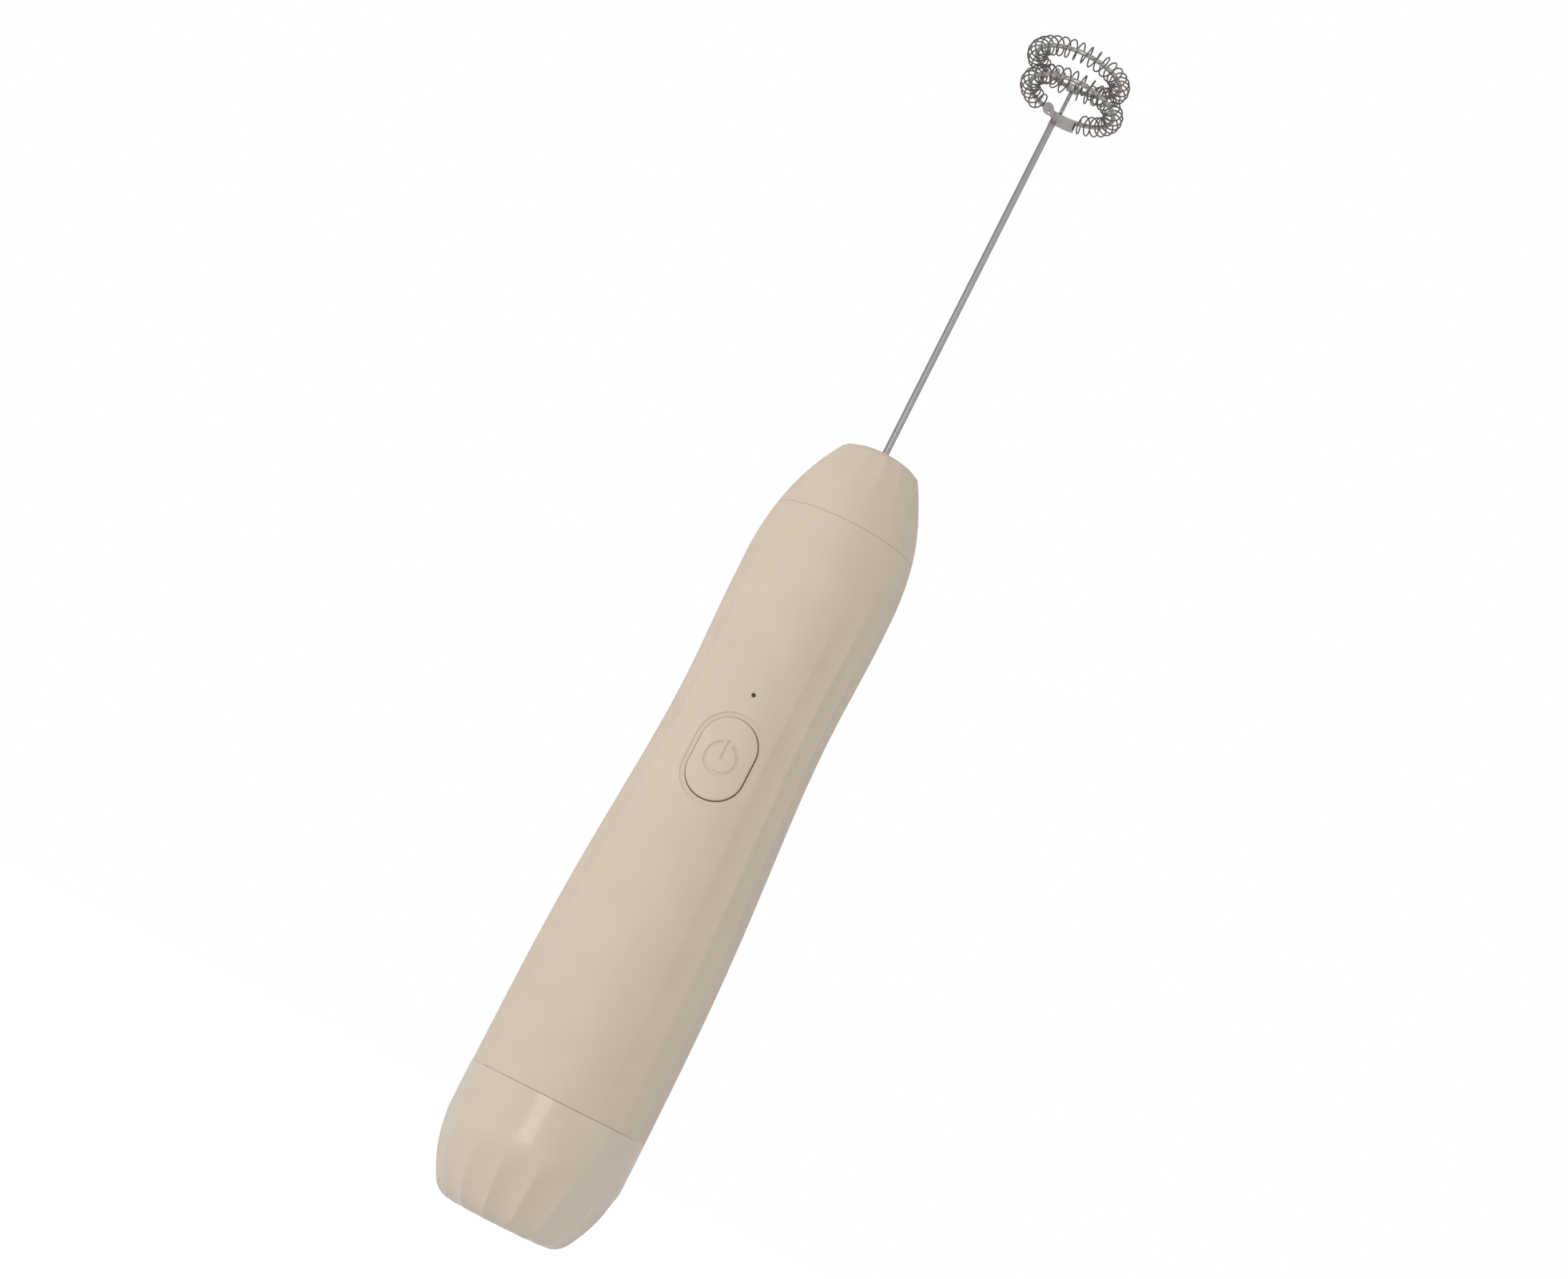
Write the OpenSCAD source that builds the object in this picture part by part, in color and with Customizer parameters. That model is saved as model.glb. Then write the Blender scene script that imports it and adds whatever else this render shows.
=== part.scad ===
// Hand-held milk frother: a moulded handle with a motor, cell and switch inside, and a
// whisk of two coiled rings on a thin steel shaft. Millimetres. The handle's axis is +Z,
// the foot of the end cap is at z = 0 and the button faces -Y.

/* [Handle] */
// Height of the end cap, from its foot to its seam
cap_h = 23.9; // [20:0.1:30]
// Length of the body between its two seams
body_l = 117.1; // [105:0.1:150]
// Height of the nose, from its seam to the crown of its dome
nose_l = 17.05; // [15:0.05:22]
// Wall of the body and of the nose
wall = 2; // [1.6:0.1:2.6]
// Distance from the nose seam down to the shoulder
shoulder_drop = 14.4; // [12:0.1:18]
// Distance from the nose seam down to the waist
waist_drop = 36.9; // [30:0.1:44]
// How much wider than the nose seam the shoulder is, in radius
shoulder_swell = 1.1; // [0.6:0.05:1.4]
// How much wider than the nose seam the waist is, in radius
waist_swell = 0.58; // [0.3:0.01:0.8]
// How much wider than the waist the heel is, in radius
heel_flare = 2.77; // [2:0.01:4]
// How late the heel narrows towards the waist
heel_bow = 1.55; // [1:0.05:2]
// How late the nose curves in
nose_bow = 2.55; // [2:0.05:3]
// Height of the nose's dome above its rim
dome_h = 1.35; // [1.2:0.05:2.6]
// How flat the dome is before its rim rounds off
dome_bow = 3.5; // [2:0.1:5]

/* [End cap] */
// Wall of the end cap
cap_wall = 1.85; // [1.4:0.05:2.4]
// Thickness of the end cap's foot
cap_floor_t = 2.4; // [1.8:0.1:3]
// Height at which the end cap starts to taper towards its foot
cap_crown_z = 15.5; // [11:0.1:17]
// How much the end cap tapers, in radius
cap_taper = 5.25; // [4:0.05:7]
// How round the taper is
cap_bow = 2; // [1.2:0.05:2.4]
// Rounding of the foot's edge
foot_round = 2.2; // [0.4:0.1:2.6]
// Visible gap between the end cap and the body
seam_gap = 0.1; // [0.1:0.01:0.3]
// How far the plug reaches down into the end cap
plug_depth = 7.8; // [6:0.1:9.4]
// How far the plug reaches up into the body
plug_rise = 4.2; // [3:0.1:6]
// Gap between the end cap's bore and the plug
plug_gap = 0.5; // [0.4:0.05:0.7]
// Thickness of the round section of the end cap's seal
cap_oring_d = 1.2; // [0.9:0.1:1.5]

/* [Button] */
// Width of the button
button_w = 10.8; // [8:0.1:13]
// Height of the button
button_l = 15.9; // [12:0.1:19]
// Distance from the nose seam down to the middle of the button
button_drop = 49.9; // [44:0.1:56]
// Gap round the button
button_gap = 0.3; // [0.25:0.01:0.4]
// How far the button stands proud of the body
button_proud = 0.1; // [0:0.05:0.5]
// How far the button travels
button_travel = 0.6; // [0.3:0.05:0.8]
// Width of the shallow rim sunk round the button's opening
rim_w = 0.75; // [0.5:0.05:1.2]
// Depth of the rim
rim_depth = 0.2; // [0.1:0.05:0.4]
// Outer diameter of the power sign
icon_d = 6.5; // [5:0.1:8]
// Stroke of the power sign
icon_stroke = 0.63; // [0.4:0.01:0.9]
// Depth of the power sign
icon_depth = 0.2; // [0.1:0.05:0.4]
// Distance from the nose seam down to the indicator
lens_drop = 36.9; // [35.5:0.1:39]
// Diameter of the indicator
lens_d = 0.75; // [0.6:0.05:1.5]

/* [Power] */
// Diameter of the battery cell
cell_d = 14; // [12:0.1:17]
// Length of the battery cell with its nub
cell_l = 50; // [40:0.5:52]
// Width of the control board
board_w = 15; // [12:0.1:16]
// Height of the control board
board_l = 23.4; // [22:0.1:30]
// Thickness of the control board
board_t = 1; // [0.8:0.1:1.6]
// Width of the charging socket
usb_w = 8.94; // [8.9:0.01:9]
// Height of the charging socket
usb_h = 3.26; // [3.2:0.01:3.3]
// Depth of the charging socket
usb_l = 7.35; // [6.5:0.05:8]

/* [Motor] */
// Diameter of the motor can
motor_d = 20.4; // [18:0.1:25]
// Length of the motor without its boss and shaft
motor_l = 26.4; // [24:0.1:30]
// Thickness of the rubber sleeve round the motor
sleeve_t = 1.8; // [1:0.1:2.4]
// Diameter of the motor shaft
motor_shaft_d = 2; // [1.5:0.1:2.4]
// Length of the motor shaft in front of the can
motor_shaft_l = 11.6; // [9:0.1:12.5]
// Diameter of the coupling
coupling_d = 5.2; // [4:0.1:6]

/* [Whisk] */
// Diameter of the whisk shaft
shaft_d = 1.3; // [1.2:0.05:2]
// Height of the lower ring above the nose's dome
ring_rise = 80.9; // [60:0.1:100]
// Distance between the two rings
ring_pitch = 6.05; // [5:0.05:7]
// Radius of each ring, at its wire
ring_r = 8.85; // [7:0.05:11]
// Sideways set of the lower ring
lower_set = 1.35; // [0:0.05:1.5]
// Lean of the lower ring towards its clip, in degrees
ring_tilt = 2; // [0:0.5:3]
// Diameter of the ring wire
ring_wire_d = 0.9; // [0.6:0.05:1.2]
// Outer diameter of the coil
coil_d = 4; // [3:0.1:4.6]
// Diameter of the coil's wire
coil_wire_d = 0.3; // [0.25:0.01:0.45]
// Turns of the coil in a full ring
coil_turns = 32; // [24:1:40]
// Turn of the whisk at rest, about the shaft
whisk_turn = 7; // [0:1:359]
// Length of the ring clip along the ring
clip_l = 4.7; // [3:0.1:7]
// How far round from the arm the middle of the clip is, in degrees
clip_turn = 3.5; // [0:0.5:10]
// Height of the ring clip
clip_h = 2; // [1.6:0.1:2.4]
// How far the clip's floor lies below the middle of the ring wire
clip_drop = 1.9; // [1.5:0.1:2]
// Thickness of the clip's sheet metal
clip_t = 0.35; // [0.25:0.05:0.5]
// How far the arm drops from the ring to the shaft
arm_drop = 2.3; // [1:0.1:3]
// Bend of the shaft into its arm, at the middle of the wire
shaft_bend = 1.7; // [1.2:0.1:2.5]

/* [Hidden] */
$fn = 64;

// Clearances: pieces that only lie together, shafts that run, room round loose pieces, and
// round the shaft where it leaves the nose
fit = 0.05;
running_gap = 0.04;
free_gap = 0.3;
nose_hole_gap = 0.4;

// Outline of the handle
outline_step = 3;
cap_step = 1.5;
bore_r = motor_d / 2 + sleeve_t + 2 * fit;
nose_seam_r = bore_r + wall;
shoulder_r = nose_seam_r + shoulder_swell;
waist_r = nose_seam_r + waist_swell;
heel_r = waist_r + heel_flare;
nose_seam_z = cap_h + body_l;
tip_z = nose_seam_z + nose_l;
rim_z = tip_z - dome_h;
shoulder_z = nose_seam_z - shoulder_drop;
waist_z = nose_seam_z - waist_drop;
button_z = nose_seam_z - button_drop;
lens_z = nose_seam_z - lens_drop;
far_out = 2 * heel_r;

// Motor, from the nose seam down: spigot, plate, can, end bell and the ledge it stands on
spigot_l = 4.5;
spigot_wall = 1.75;
nose_oring_r = 0.45;
nose_oring_z = nose_seam_z - spigot_l / 2;
plate_t = 2;
motor_z1 = nose_seam_z - spigot_l - plate_t;
motor_z0 = motor_z1 - motor_l;
ledge_z = motor_z0;
can_wall = 0.8;
bell_t = 2.6;
boss_r = 3.1;
boss_h = 1.5;
bush_r = 2.2;
bush_l = 3;
magnet_t = 1.5;
magnet_arc = 140;
air_gap = 0.4;
armature_z0 = motor_z0 + 9;
armature_l = 10;
commutator_r = 2.6;
commutator_l = 3;
commutator_z0 = motor_z0 + 4.6;
terminal_x = 7;
terminal_l = 4;
motor_screw_x = 5.4;
screw_r = 1;

// Coupling, bush and seal in the nose
coupling_z0 = motor_z1 + boss_h + 1.6;
coupling_l = 13.2;
coupling_z1 = coupling_z0 + coupling_l;
motor_shaft_z1 = motor_z1 + motor_shaft_l;
whisk_z0 = motor_shaft_z1 + free_gap;
bush_boss_r = 4.4;
bush_z1 = tip_z - wall - 1.8;
bush_z0 = bush_z1 - 2.2;
seal_h = 1.6;
pocket_r = 2.6;

// Stack behind the button, as distances from the axis towards -Y
flange_lip = 1;
flange_t = 0.8;
gasket_t = 0.6;
switch_w = 5.2;
switch_t = 1.6;
plunger_r = 1.3;
flange_x = button_w / 2 + flange_lip;
gasket_front = sqrt(pow(waist_r - wall, 2) - pow(flange_x, 2)) - fit;
flange_front = gasket_front - gasket_t - fit;
flange_back = flange_front - flange_t;
switch_front = flange_back - button_travel - free_gap;
board_front = switch_front - switch_t;
board_back = board_front - board_t;
board_z1 = ledge_z - plate_t - free_gap;
board_z0 = board_z1 - board_l;
chip_t = 0.9;
led_t = 0.8;

// Plug and charging port
cap_bore_r = heel_r - cap_wall;
plug_r = cap_bore_r - plug_gap;
plug_wall = 2;
plug_z0 = cap_h - plug_depth;
plug_z1 = cap_h + plug_rise;
groove_w = cap_oring_d + 0.4;
groove_r = plug_r - cap_oring_d + (plug_gap - free_gap);
usb_z0 = plug_z0 + 0.2;
usb_sheet = 0.3;
port_board_w = 16;
port_board_z0 = plug_z0 + plug_wall + free_gap;
port_board_z1 = plug_z1 + 2;
end_screw_x = 10.4;
end_screw_boss_r = 2.3;
end_screw_head_r = 1.9;
end_screw_head_t = 1.2;

// Cell and chassis
contact_t = 0.4;
nub_h = 1;
nub_r = 2.8;
chassis_t = 1.2;
rib_t = 2.4;
cell_r = cell_d / 2;
cell_y = cell_r + free_gap - board_back;
cell_z0 = plug_z1 + plate_t + 4 * contact_t;
cell_z1 = cell_z0 + cell_l;
stop_z0 = cell_z1 + contact_t + free_gap;
board_rib_z0 = board_z1 - 6;
board_screw_x = 4.6;
board_screw_r = 0.75;
board_screw_l = 3.2;
lead_r = 0.55;
lead_stub = 1.2;
contact_w = 7;
contact_d = 5;

// Whisk
lower_z = tip_z + ring_rise;
upper_z = lower_z + ring_pitch;
coil_path_r = (coil_d - coil_wire_d) / 2;
coil_steps = 12;
coil_sides = 5;
coil_gap = 2;
ring_wire_r = ring_wire_d / 2;
clip_gap = fit;
clip_in = ring_wire_r + clip_gap;
clip_arc = clip_l / ring_r * 180 / PI;
lug_r = 1.25;
lug_reach = 1.4;
lug_hole_r = 0.4;
lug_z = -0.3;
lug_arc = (1 + lug_reach) * lug_r / ring_r * 180 / PI;
lug_turn = 0.6 * lug_arc;
ferrule_l = 2.2;
ferrule_r = ring_wire_r + 0.5;
post_arc = asin(lower_set / 2 / ring_r);
post_r = 0.4;
arm_z1 = lower_z - ring_r * sin(ring_tilt) - clip_drop - shaft_d / 2;
arm_z0 = arm_z1 - arm_drop;
arm_tilt = atan(arm_drop / ring_r);
bend_arc = 90 - arm_tilt;
bend_l = shaft_bend * tan(bend_arc / 2);
bend_steps = 8;

plastic = [0.81, 0.75, 0.67];
inner_plastic = [0.88, 0.87, 0.84];
dark_plastic = [0.16, 0.16, 0.17];
steel = [0.74, 0.73, 0.72];
dark_steel = [0.42, 0.40, 0.39];
brass = [0.80, 0.66, 0.36];
rubber = [0.15, 0.15, 0.15];
silicone = [0.72, 0.67, 0.60];
copper = [0.75, 0.42, 0.22];
board_green = [0.10, 0.36, 0.22];
cell_blue = [0.16, 0.32, 0.60];

// A half-wave from 0 to 1
function ramp(t) = (1 - cos(180 * t)) / 2;

// Radius of the body and nose at a height: heel to waist, waist to shoulder, then nose
function outer_r(z) =
    z < waist_z ? waist_r + heel_flare * (1 - ramp(pow((z - cap_h) / (waist_z - cap_h), heel_bow)))
    : z < shoulder_z ? waist_r + (shoulder_r - waist_r) * ramp((z - waist_z) / (shoulder_z - waist_z))
    : shoulder_r - shoulder_swell * pow((z - shoulder_z) / (nose_seam_z - shoulder_z), nose_bow);

// Radius of the end cap at a height: a bowed taper up to its crown, then all but straight
function cap_r(z) =
    z < cap_crown_z ? heel_r - fit - cap_taper * pow((cap_crown_z - z) / cap_crown_z, cap_bow)
    : heel_r - fit;

// Points of an outline between two heights, moved in by an inset
function outline(z0, z1, inset = 0) =
    let (n = max(1, ceil((z1 - z0) / outline_step)))
    [for (i = [0:n]) let (z = z0 + (z1 - z0) * i / n) [outer_r(z) - inset, z]];

function reversed(list) = [for (i = [len(list) - 1:-1:0]) list[i]];

// Obround with its long side upright
module obround(w, l) {
    square([w, l - w], center = true);
    for (side = [-1, 1]) translate([0, side * (l - w) / 2]) circle(d = w);
}

// Extrudes an outline towards -Y, between two distances from the axis
module out_front(near, far, z) {
    translate([0, -near, z]) rotate([90, 0, 0]) linear_extrude(far - near) children();
}

// Tube, or a rod where the bore is 0
module tube(r_out, r_in, z0, z1) {
    translate([0, 0, z0]) difference() {
        cylinder(r = r_out, h = z1 - z0);
        if (r_in > 0) translate([0, 0, -1]) cylinder(r = r_in, h = z1 - z0 + 2);
    }
}

function unit(v) = v / norm(v);

// Round wire of flat sides, swept along a path with a ring of points at each of its points
module sweep(path, tangents, sides_from, r, sides) {
    rings = len(path) - 1;
    points = [for (i = [0:rings]) let (
            t = tangents[i],
            n = unit(sides_from[i] - t * (sides_from[i] * t)),
            m = cross(t, n))
        for (k = [0:sides - 1])
            path[i] + r * (n * cos(360 * k / sides) + m * sin(360 * k / sides))];
    skin = [for (i = [0:rings - 1], k = [0:sides - 1]) let (k1 = (k + 1) % sides)
        each [[i * sides + k, (i + 1) * sides + k, i * sides + k1],
              [i * sides + k1, (i + 1) * sides + k, (i + 1) * sides + k1]]];
    ends = [[for (k = [0:sides - 1]) k], [for (k = [sides - 1:-1:0]) rings * sides + k]];
    polyhedron(points, concat(skin, ends));
}

// Lead through hand-placed points, mitred at each inner point
module lead(points) {
    last = len(points) - 1;
    way = [for (i = [0:last - 1]) unit(points[i + 1] - points[i])];
    tangents = [for (i = [0:last]) unit(way[max(0, i - 1)] + way[min(last - 1, i)])];
    sweep(points, tangents, [for (i = [0:last]) [1, 0, 0]], lead_r, 8);
}

module both_sides(x) {
    for (side = [-1, 1]) translate([side * x, 0, 0]) children();
}

// ---------------------------------------------------------------- Handle shells

// Solid that follows the body's outside, grown or shrunk by an amount
module body_solid(grow, z0, z1) {
    rotate_extrude() polygon(concat([[0, z0]], outline(z0, z1, -grow), [[0, z1]]));
}

module body_shell() color(plastic) {
    inner_z1 = ledge_z;
    rim_half = button_l / 2 + button_gap + rim_w + 1;
    difference() {
        rotate_extrude() polygon(concat(
            outline(cap_h, nose_seam_z),
            [[bore_r, nose_seam_z], [bore_r, inner_z1]],
            reversed(outline(cap_h, inner_z1, wall))));
        out_front(0, far_out, button_z)
            obround(button_w + 2 * button_gap, button_l + 2 * button_gap);
        difference() {
            out_front(0, far_out, button_z)
                obround(button_w + 2 * button_gap + 2 * rim_w, button_l + 2 * button_gap + 2 * rim_w);
            body_solid(-rim_depth, button_z - rim_half, button_z + rim_half);
        }
        out_front(0, far_out, lens_z) circle(d = lens_d + fit);
    }
}

module nose_cap() color(plastic) {
    spigot_r = bore_r - fit;
    inner_r = spigot_r - spigot_wall;
    inner_z = tip_z - wall;
    inner_chamfer = 1.2;
    dome_steps = 8;
    rim_r = outer_r(rim_z);
    dome = [for (i = [1:dome_steps]) let (r = rim_r * (1 - i / dome_steps))
        [r, rim_z + dome_h * (1 - pow(r / rim_r, dome_bow))]];
    inside = [for (p = reversed(outline(nose_seam_z, inner_z - inner_chamfer, wall))) [min(p[0], inner_r), p[1]]];
    difference() {
        union() {
            rotate_extrude() polygon(concat(
                [[inner_r, nose_seam_z - spigot_l], [spigot_r, nose_seam_z - spigot_l],
                 [spigot_r, nose_seam_z]],
                outline(nose_seam_z + fit, rim_z), dome,
                [[0, inner_z], [inside[0][0] - inner_chamfer, inner_z]], inside));
            tube(bush_boss_r, 0, bush_z0 - 0.6, inner_z + 0.5);
        }
        tube(pocket_r + fit, 0, 0, bush_z1 + seal_h + fit);
        tube(shaft_d / 2 + nose_hole_gap, 0, 0, tip_z + 1);
        nose_groove();
    }
}

// Groove for the nose seal, in the middle of the spigot
module nose_groove() {
    groove_half = nose_oring_r + 0.15;
    tube(bore_r + 1, bore_r - 2 * nose_oring_r - fit, nose_oring_z - groove_half, nose_oring_z + groove_half);
}

module nose_oring() color(rubber)
    translate([0, 0, nose_oring_z]) rotate_extrude()
        translate([bore_r - nose_oring_r - fit / 2, 0]) circle(r = nose_oring_r);

module bottom_cap() color(plastic) {
    top = cap_h - seam_gap;
    n = ceil((cap_crown_z - foot_round) / cap_step);
    rise = cap_crown_z - foot_round;
    skin = [for (i = [0:n]) let (z = foot_round + rise * i / n) [cap_r(z), z]];
    round_steps = 6;
    foot = [for (i = [0:round_steps - 1])
        let (a = 90 * i / round_steps, z = foot_round * (1 - cos(a)))
        [cap_r(z) - foot_round * (1 - sin(a)), z]];
    m = ceil((cap_crown_z - cap_floor_t) / cap_step);
    hollow = [for (i = [m:-1:0]) let (z = cap_floor_t + (cap_crown_z - cap_floor_t) * i / m)
        [cap_r(z) - cap_wall + fit, z]];
    rotate_extrude() polygon(concat(
        [[0, 0]], foot, skin, [[heel_r - fit, top], [cap_bore_r, top]], hollow, [[0, cap_floor_t]]));
}

module end_plug() color(inner_plastic) {
    body_fit_r = heel_r - wall - 2 * fit;
    groove_z = plug_z0 + plug_depth / 2 - groove_w / 2;
    difference() {
        union() {
            tube(plug_r, plug_r - plug_wall, plug_z0, cap_h);
            tube(plug_r, 0, plug_z0, plug_z0 + plug_wall);
            tube(body_fit_r, plug_r - plug_wall, cap_h, plug_z1);
            both_sides(end_screw_x) tube(end_screw_boss_r, 0, plug_z0, plug_z1);
        }
        tube(plug_r + 1, groove_r, groove_z, groove_z + groove_w);
        both_sides(end_screw_x) {
            tube(screw_r + fit, 0, plug_z0 - 1, plug_z1 + 1);
            tube(end_screw_head_r + fit, 0, plug_z0 - 1, plug_z0 + end_screw_head_t);
        }
        translate([0, 0, plug_z0 - 1]) rotate(90)
            linear_extrude(plug_wall + 2) obround(usb_h + 2 * fit, usb_w + 2 * fit);
    }
}

module cap_oring() color(rubber)
    translate([0, 0, plug_z0 + plug_depth / 2]) rotate_extrude()
        translate([groove_r + cap_oring_d / 2, 0]) circle(d = cap_oring_d);

module end_screws() color(steel) {
    cross = [2.2, 0.5, 0.8];
    both_sides(end_screw_x) difference() {
        union() {
            tube(end_screw_head_r, 0, plug_z0 + 0.1, plug_z0 + end_screw_head_t);
            tube(screw_r, 0, plug_z0 + end_screw_head_t, plug_z1 + plate_t + 1.4);
        }
        for (a = [0, 90]) rotate(a)
            translate([-cross[0] / 2, -cross[1] / 2, plug_z0]) cube(cross);
    }
}

// ---------------------------------------------------------------- Button and boards

module button() color(plastic) {
    face_z0 = button_z - button_l;
    face_z1 = button_z + button_l;
    ring_mid_r = icon_d / 2 - icon_stroke / 2;
    difference() {
        union() {
            intersection() {
                out_front(flange_back, far_out, button_z) obround(button_w, button_l);
                body_solid(button_proud, face_z0, face_z1);
            }
            out_front(flange_back, flange_front, button_z)
                obround(button_w + 2 * flange_lip, button_l + 2 * flange_lip);
        }
        difference() {
            out_front(0, far_out, button_z) power_sign(ring_mid_r);
            body_solid(button_proud - icon_depth, face_z0 - 1, face_z1 + 1);
        }
    }
}

// Generic power sign: a ring that is open at its top and a bar through the opening
module power_sign(mid_r) {
    difference() {
        circle(r = mid_r + icon_stroke / 2);
        circle(r = mid_r - icon_stroke / 2);
        translate([-icon_stroke * 1.6, 0]) square([icon_stroke * 3.2, icon_d]);
    }
    translate([-icon_stroke / 2, 0]) square([icon_stroke, mid_r + icon_stroke]);
}

module switch_plunger() color(dark_plastic)
    out_front(switch_front - button_travel - 0.2, flange_back, button_z) circle(r = plunger_r);

module button_gasket() color(silicone)
    out_front(gasket_front - gasket_t, gasket_front, button_z) difference() {
        obround(button_w + 2 * flange_lip, button_l + 2 * flange_lip);
        obround(button_w + 2 * free_gap, button_l + 2 * free_gap);
    }

module tact_switch() color(dark_plastic) {
    depth = 2 * button_travel + 0.2;
    difference() {
        out_front(board_front, switch_front, button_z) square(switch_w, center = true);
        out_front(switch_front - depth, switch_front + 1, button_z) circle(r = plunger_r + free_gap);
    }
}

module indicator_lens() color(dark_plastic) {
    pipe_r = 1.1;
    pipe_y = outer_r(lens_z) - wall - free_gap;
    out_front(board_front + led_t + fit, pipe_y, lens_z) circle(r = pipe_r);
    intersection() {
        out_front(pipe_y - 0.5, far_out, lens_z) circle(d = lens_d);
        body_solid(-fit, lens_z - 3, lens_z + 3);
    }
}

module indicator_led() color("white")
    out_front(board_front, board_front + led_t, lens_z) square([1.6, 0.8], center = true);

module control_board() color(board_green)
    difference() {
        out_front(board_back, board_front, (board_z0 + board_z1) / 2)
            square([board_w, board_l], center = true);
        both_sides(board_screw_x)
            out_front(0, far_out, board_rib_z0 + rib_t / 2) circle(r = board_screw_r + fit);
    }

// Driver, charge controller and two passives, as [across, height above the board's foot, w, l]
board_parts = [[-4.6, 3.2, 4, 4.9], [4.2, 3.4, 3, 3], [5.2, 15.4, 1.6, 2.6], [-5.4, 14.2, 1.8, 3.2]];
module board_chips() color(dark_plastic)
    for (chip = board_parts)
        translate([chip[0], 0, 0])
            out_front(board_front, board_front + chip_t, board_z0 + chip[1])
                square([chip[2], chip[3]], center = true);

module board_screws() color(steel)
    both_sides(board_screw_x) {
        out_front(board_back - board_screw_l, board_front, board_rib_z0 + rib_t / 2) circle(r = board_screw_r);
        out_front(board_front, board_front + 0.7, board_rib_z0 + rib_t / 2) circle(r = 1.7 * board_screw_r);
    }

module usb_shell() color(steel)
    translate([0, 0, usb_z0]) rotate(90) linear_extrude(usb_l) difference() {
        obround(usb_h, usb_w);
        obround(usb_h - 2 * usb_sheet, usb_w - 2 * usb_sheet);
    }

module usb_tongue() color(dark_plastic) {
    base_l = 2;
    tongue_w = 6.7;
    tongue_t = 0.7;
    translate([0, 0, usb_z0 + usb_l - base_l]) rotate(90) linear_extrude(base_l)
        obround(usb_h - 2 * usb_sheet - fit, usb_w - 2 * usb_sheet - fit);
    translate([-tongue_w / 2, -tongue_t / 2, usb_z0 + 1]) cube([tongue_w, tongue_t, usb_l - base_l]);
}

module port_board() color(board_green)
    translate([-port_board_w / 2, -usb_h / 2 - board_t, port_board_z0])
        cube([port_board_w, board_t, port_board_z1 - port_board_z0]);

// ---------------------------------------------------------------- Chassis and cell

// Plate across the handle, from a line y = front backwards
module rib(z0, t, front) {
    r = outer_r(z0 + t / 2) - wall - 2 * free_gap;
    intersection() {
        tube(r, 0, z0, z0 + t);
        translate([-heel_r, front, z0 - 1]) cube([2 * heel_r, 2 * heel_r, t + 2]);
    }
}

module chassis() color(inner_plastic) {
    clear = wall + free_gap;
    notch_x = 7.6;
    notch_w = 2.8;
    difference() {
        union() {
            rotate_extrude(angle = 180) polygon(concat(
                outline(plug_z1, ledge_z, clear),
                reversed(outline(plug_z1, ledge_z, clear + chassis_t))));
            tube(outer_r(plug_z1 + plate_t) - clear - fit, 0, plug_z1, plug_z1 + plate_t);
            both_sides(end_screw_x) tube(end_screw_boss_r, 0, plug_z1, plug_z1 + plate_t + 1.6);
            tube(outer_r(ledge_z - plate_t) - clear - fit, 0, ledge_z - plate_t, ledge_z);
            for (z = [cell_z0 + 5, (cell_z0 + cell_z1) / 2, cell_z1 - 7]) rib(z, rib_t, cell_y - 2);
            rib(stop_z0, rib_t, -board_back);
            rib(board_rib_z0, rib_t, -board_back);
        }
        translate([0, cell_y, 0]) tube(cell_r + 0.2, 0, plug_z1 + plate_t, stop_z0);
        both_sides(end_screw_x) tube(screw_r + fit, 0, plug_z1 - 1, plug_z1 + plate_t + 2);
        translate([-port_board_w / 2 - 1, -6, plug_z1 - 1])
            cube([port_board_w + 2, 10, plate_t + 2]);
        both_sides(terminal_x) translate([-0.9, -1.8, ledge_z - plate_t - 1])
            cube([1.8, 3.6, plate_t + 2]);
        both_sides(notch_x) translate([-notch_w / 2, -board_back - 1, stop_z0 - 1])
            cube([notch_w, board_back, ledge_z - plate_t - stop_z0 + 1]);
        both_sides(board_screw_x) out_front(board_back - board_screw_l - 0.2, far_out, board_rib_z0 + rib_t / 2)
            circle(r = board_screw_r + fit);
    }
}

module battery_cell() color(cell_blue)
    translate([0, cell_y, 0]) {
        tube(cell_r, 0, cell_z0, cell_z1 - nub_h);
        tube(nub_r, 0, cell_z1 - nub_h, cell_z1);
    }

module battery_contacts() color(steel)
    translate([0, cell_y, 0]) {
        for (z = [cell_z0 - contact_t, cell_z1])
            translate([-contact_w / 2, -contact_d / 2, z]) cube([contact_w, contact_d, contact_t]);
    }

module battery_bands() color(silicone)
    translate([0, cell_y, 0])
        for (z = [cell_z0 + 12, cell_z1 - 18])
            tube(cell_r + 0.6, cell_r + fit, z, z + 5);

// ---------------------------------------------------------------- Motor

can_r = motor_d / 2;
magnet_r = can_r - can_wall - fit;
armature_r = magnet_r - magnet_t - air_gap;
rotor_bore_r = motor_shaft_d / 2 + running_gap;

module motor_can() color(steel)
    difference() {
        union() {
            tube(can_r, 0, motor_z0 + bell_t, motor_z1);
            tube(boss_r, 0, motor_z1, motor_z1 + boss_h);
        }
        tube(can_r - can_wall, 0, motor_z0, motor_z1 - 1);
        tube(bush_r + fit, 0, motor_z0, motor_z1 + boss_h + 1);
        both_sides(motor_screw_x) tube(screw_r + fit, 0, motor_z1 - 2, motor_z1 + 1);
    }

module motor_magnets() color(dark_steel)
    for (side = [0, 180])
        translate([0, 0, armature_z0 - 1]) rotate(side + 90 - magnet_arc / 2)
            rotate_extrude(angle = magnet_arc)
                translate([magnet_r - magnet_t, 0]) square([magnet_t, armature_l + 2]);

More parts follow.
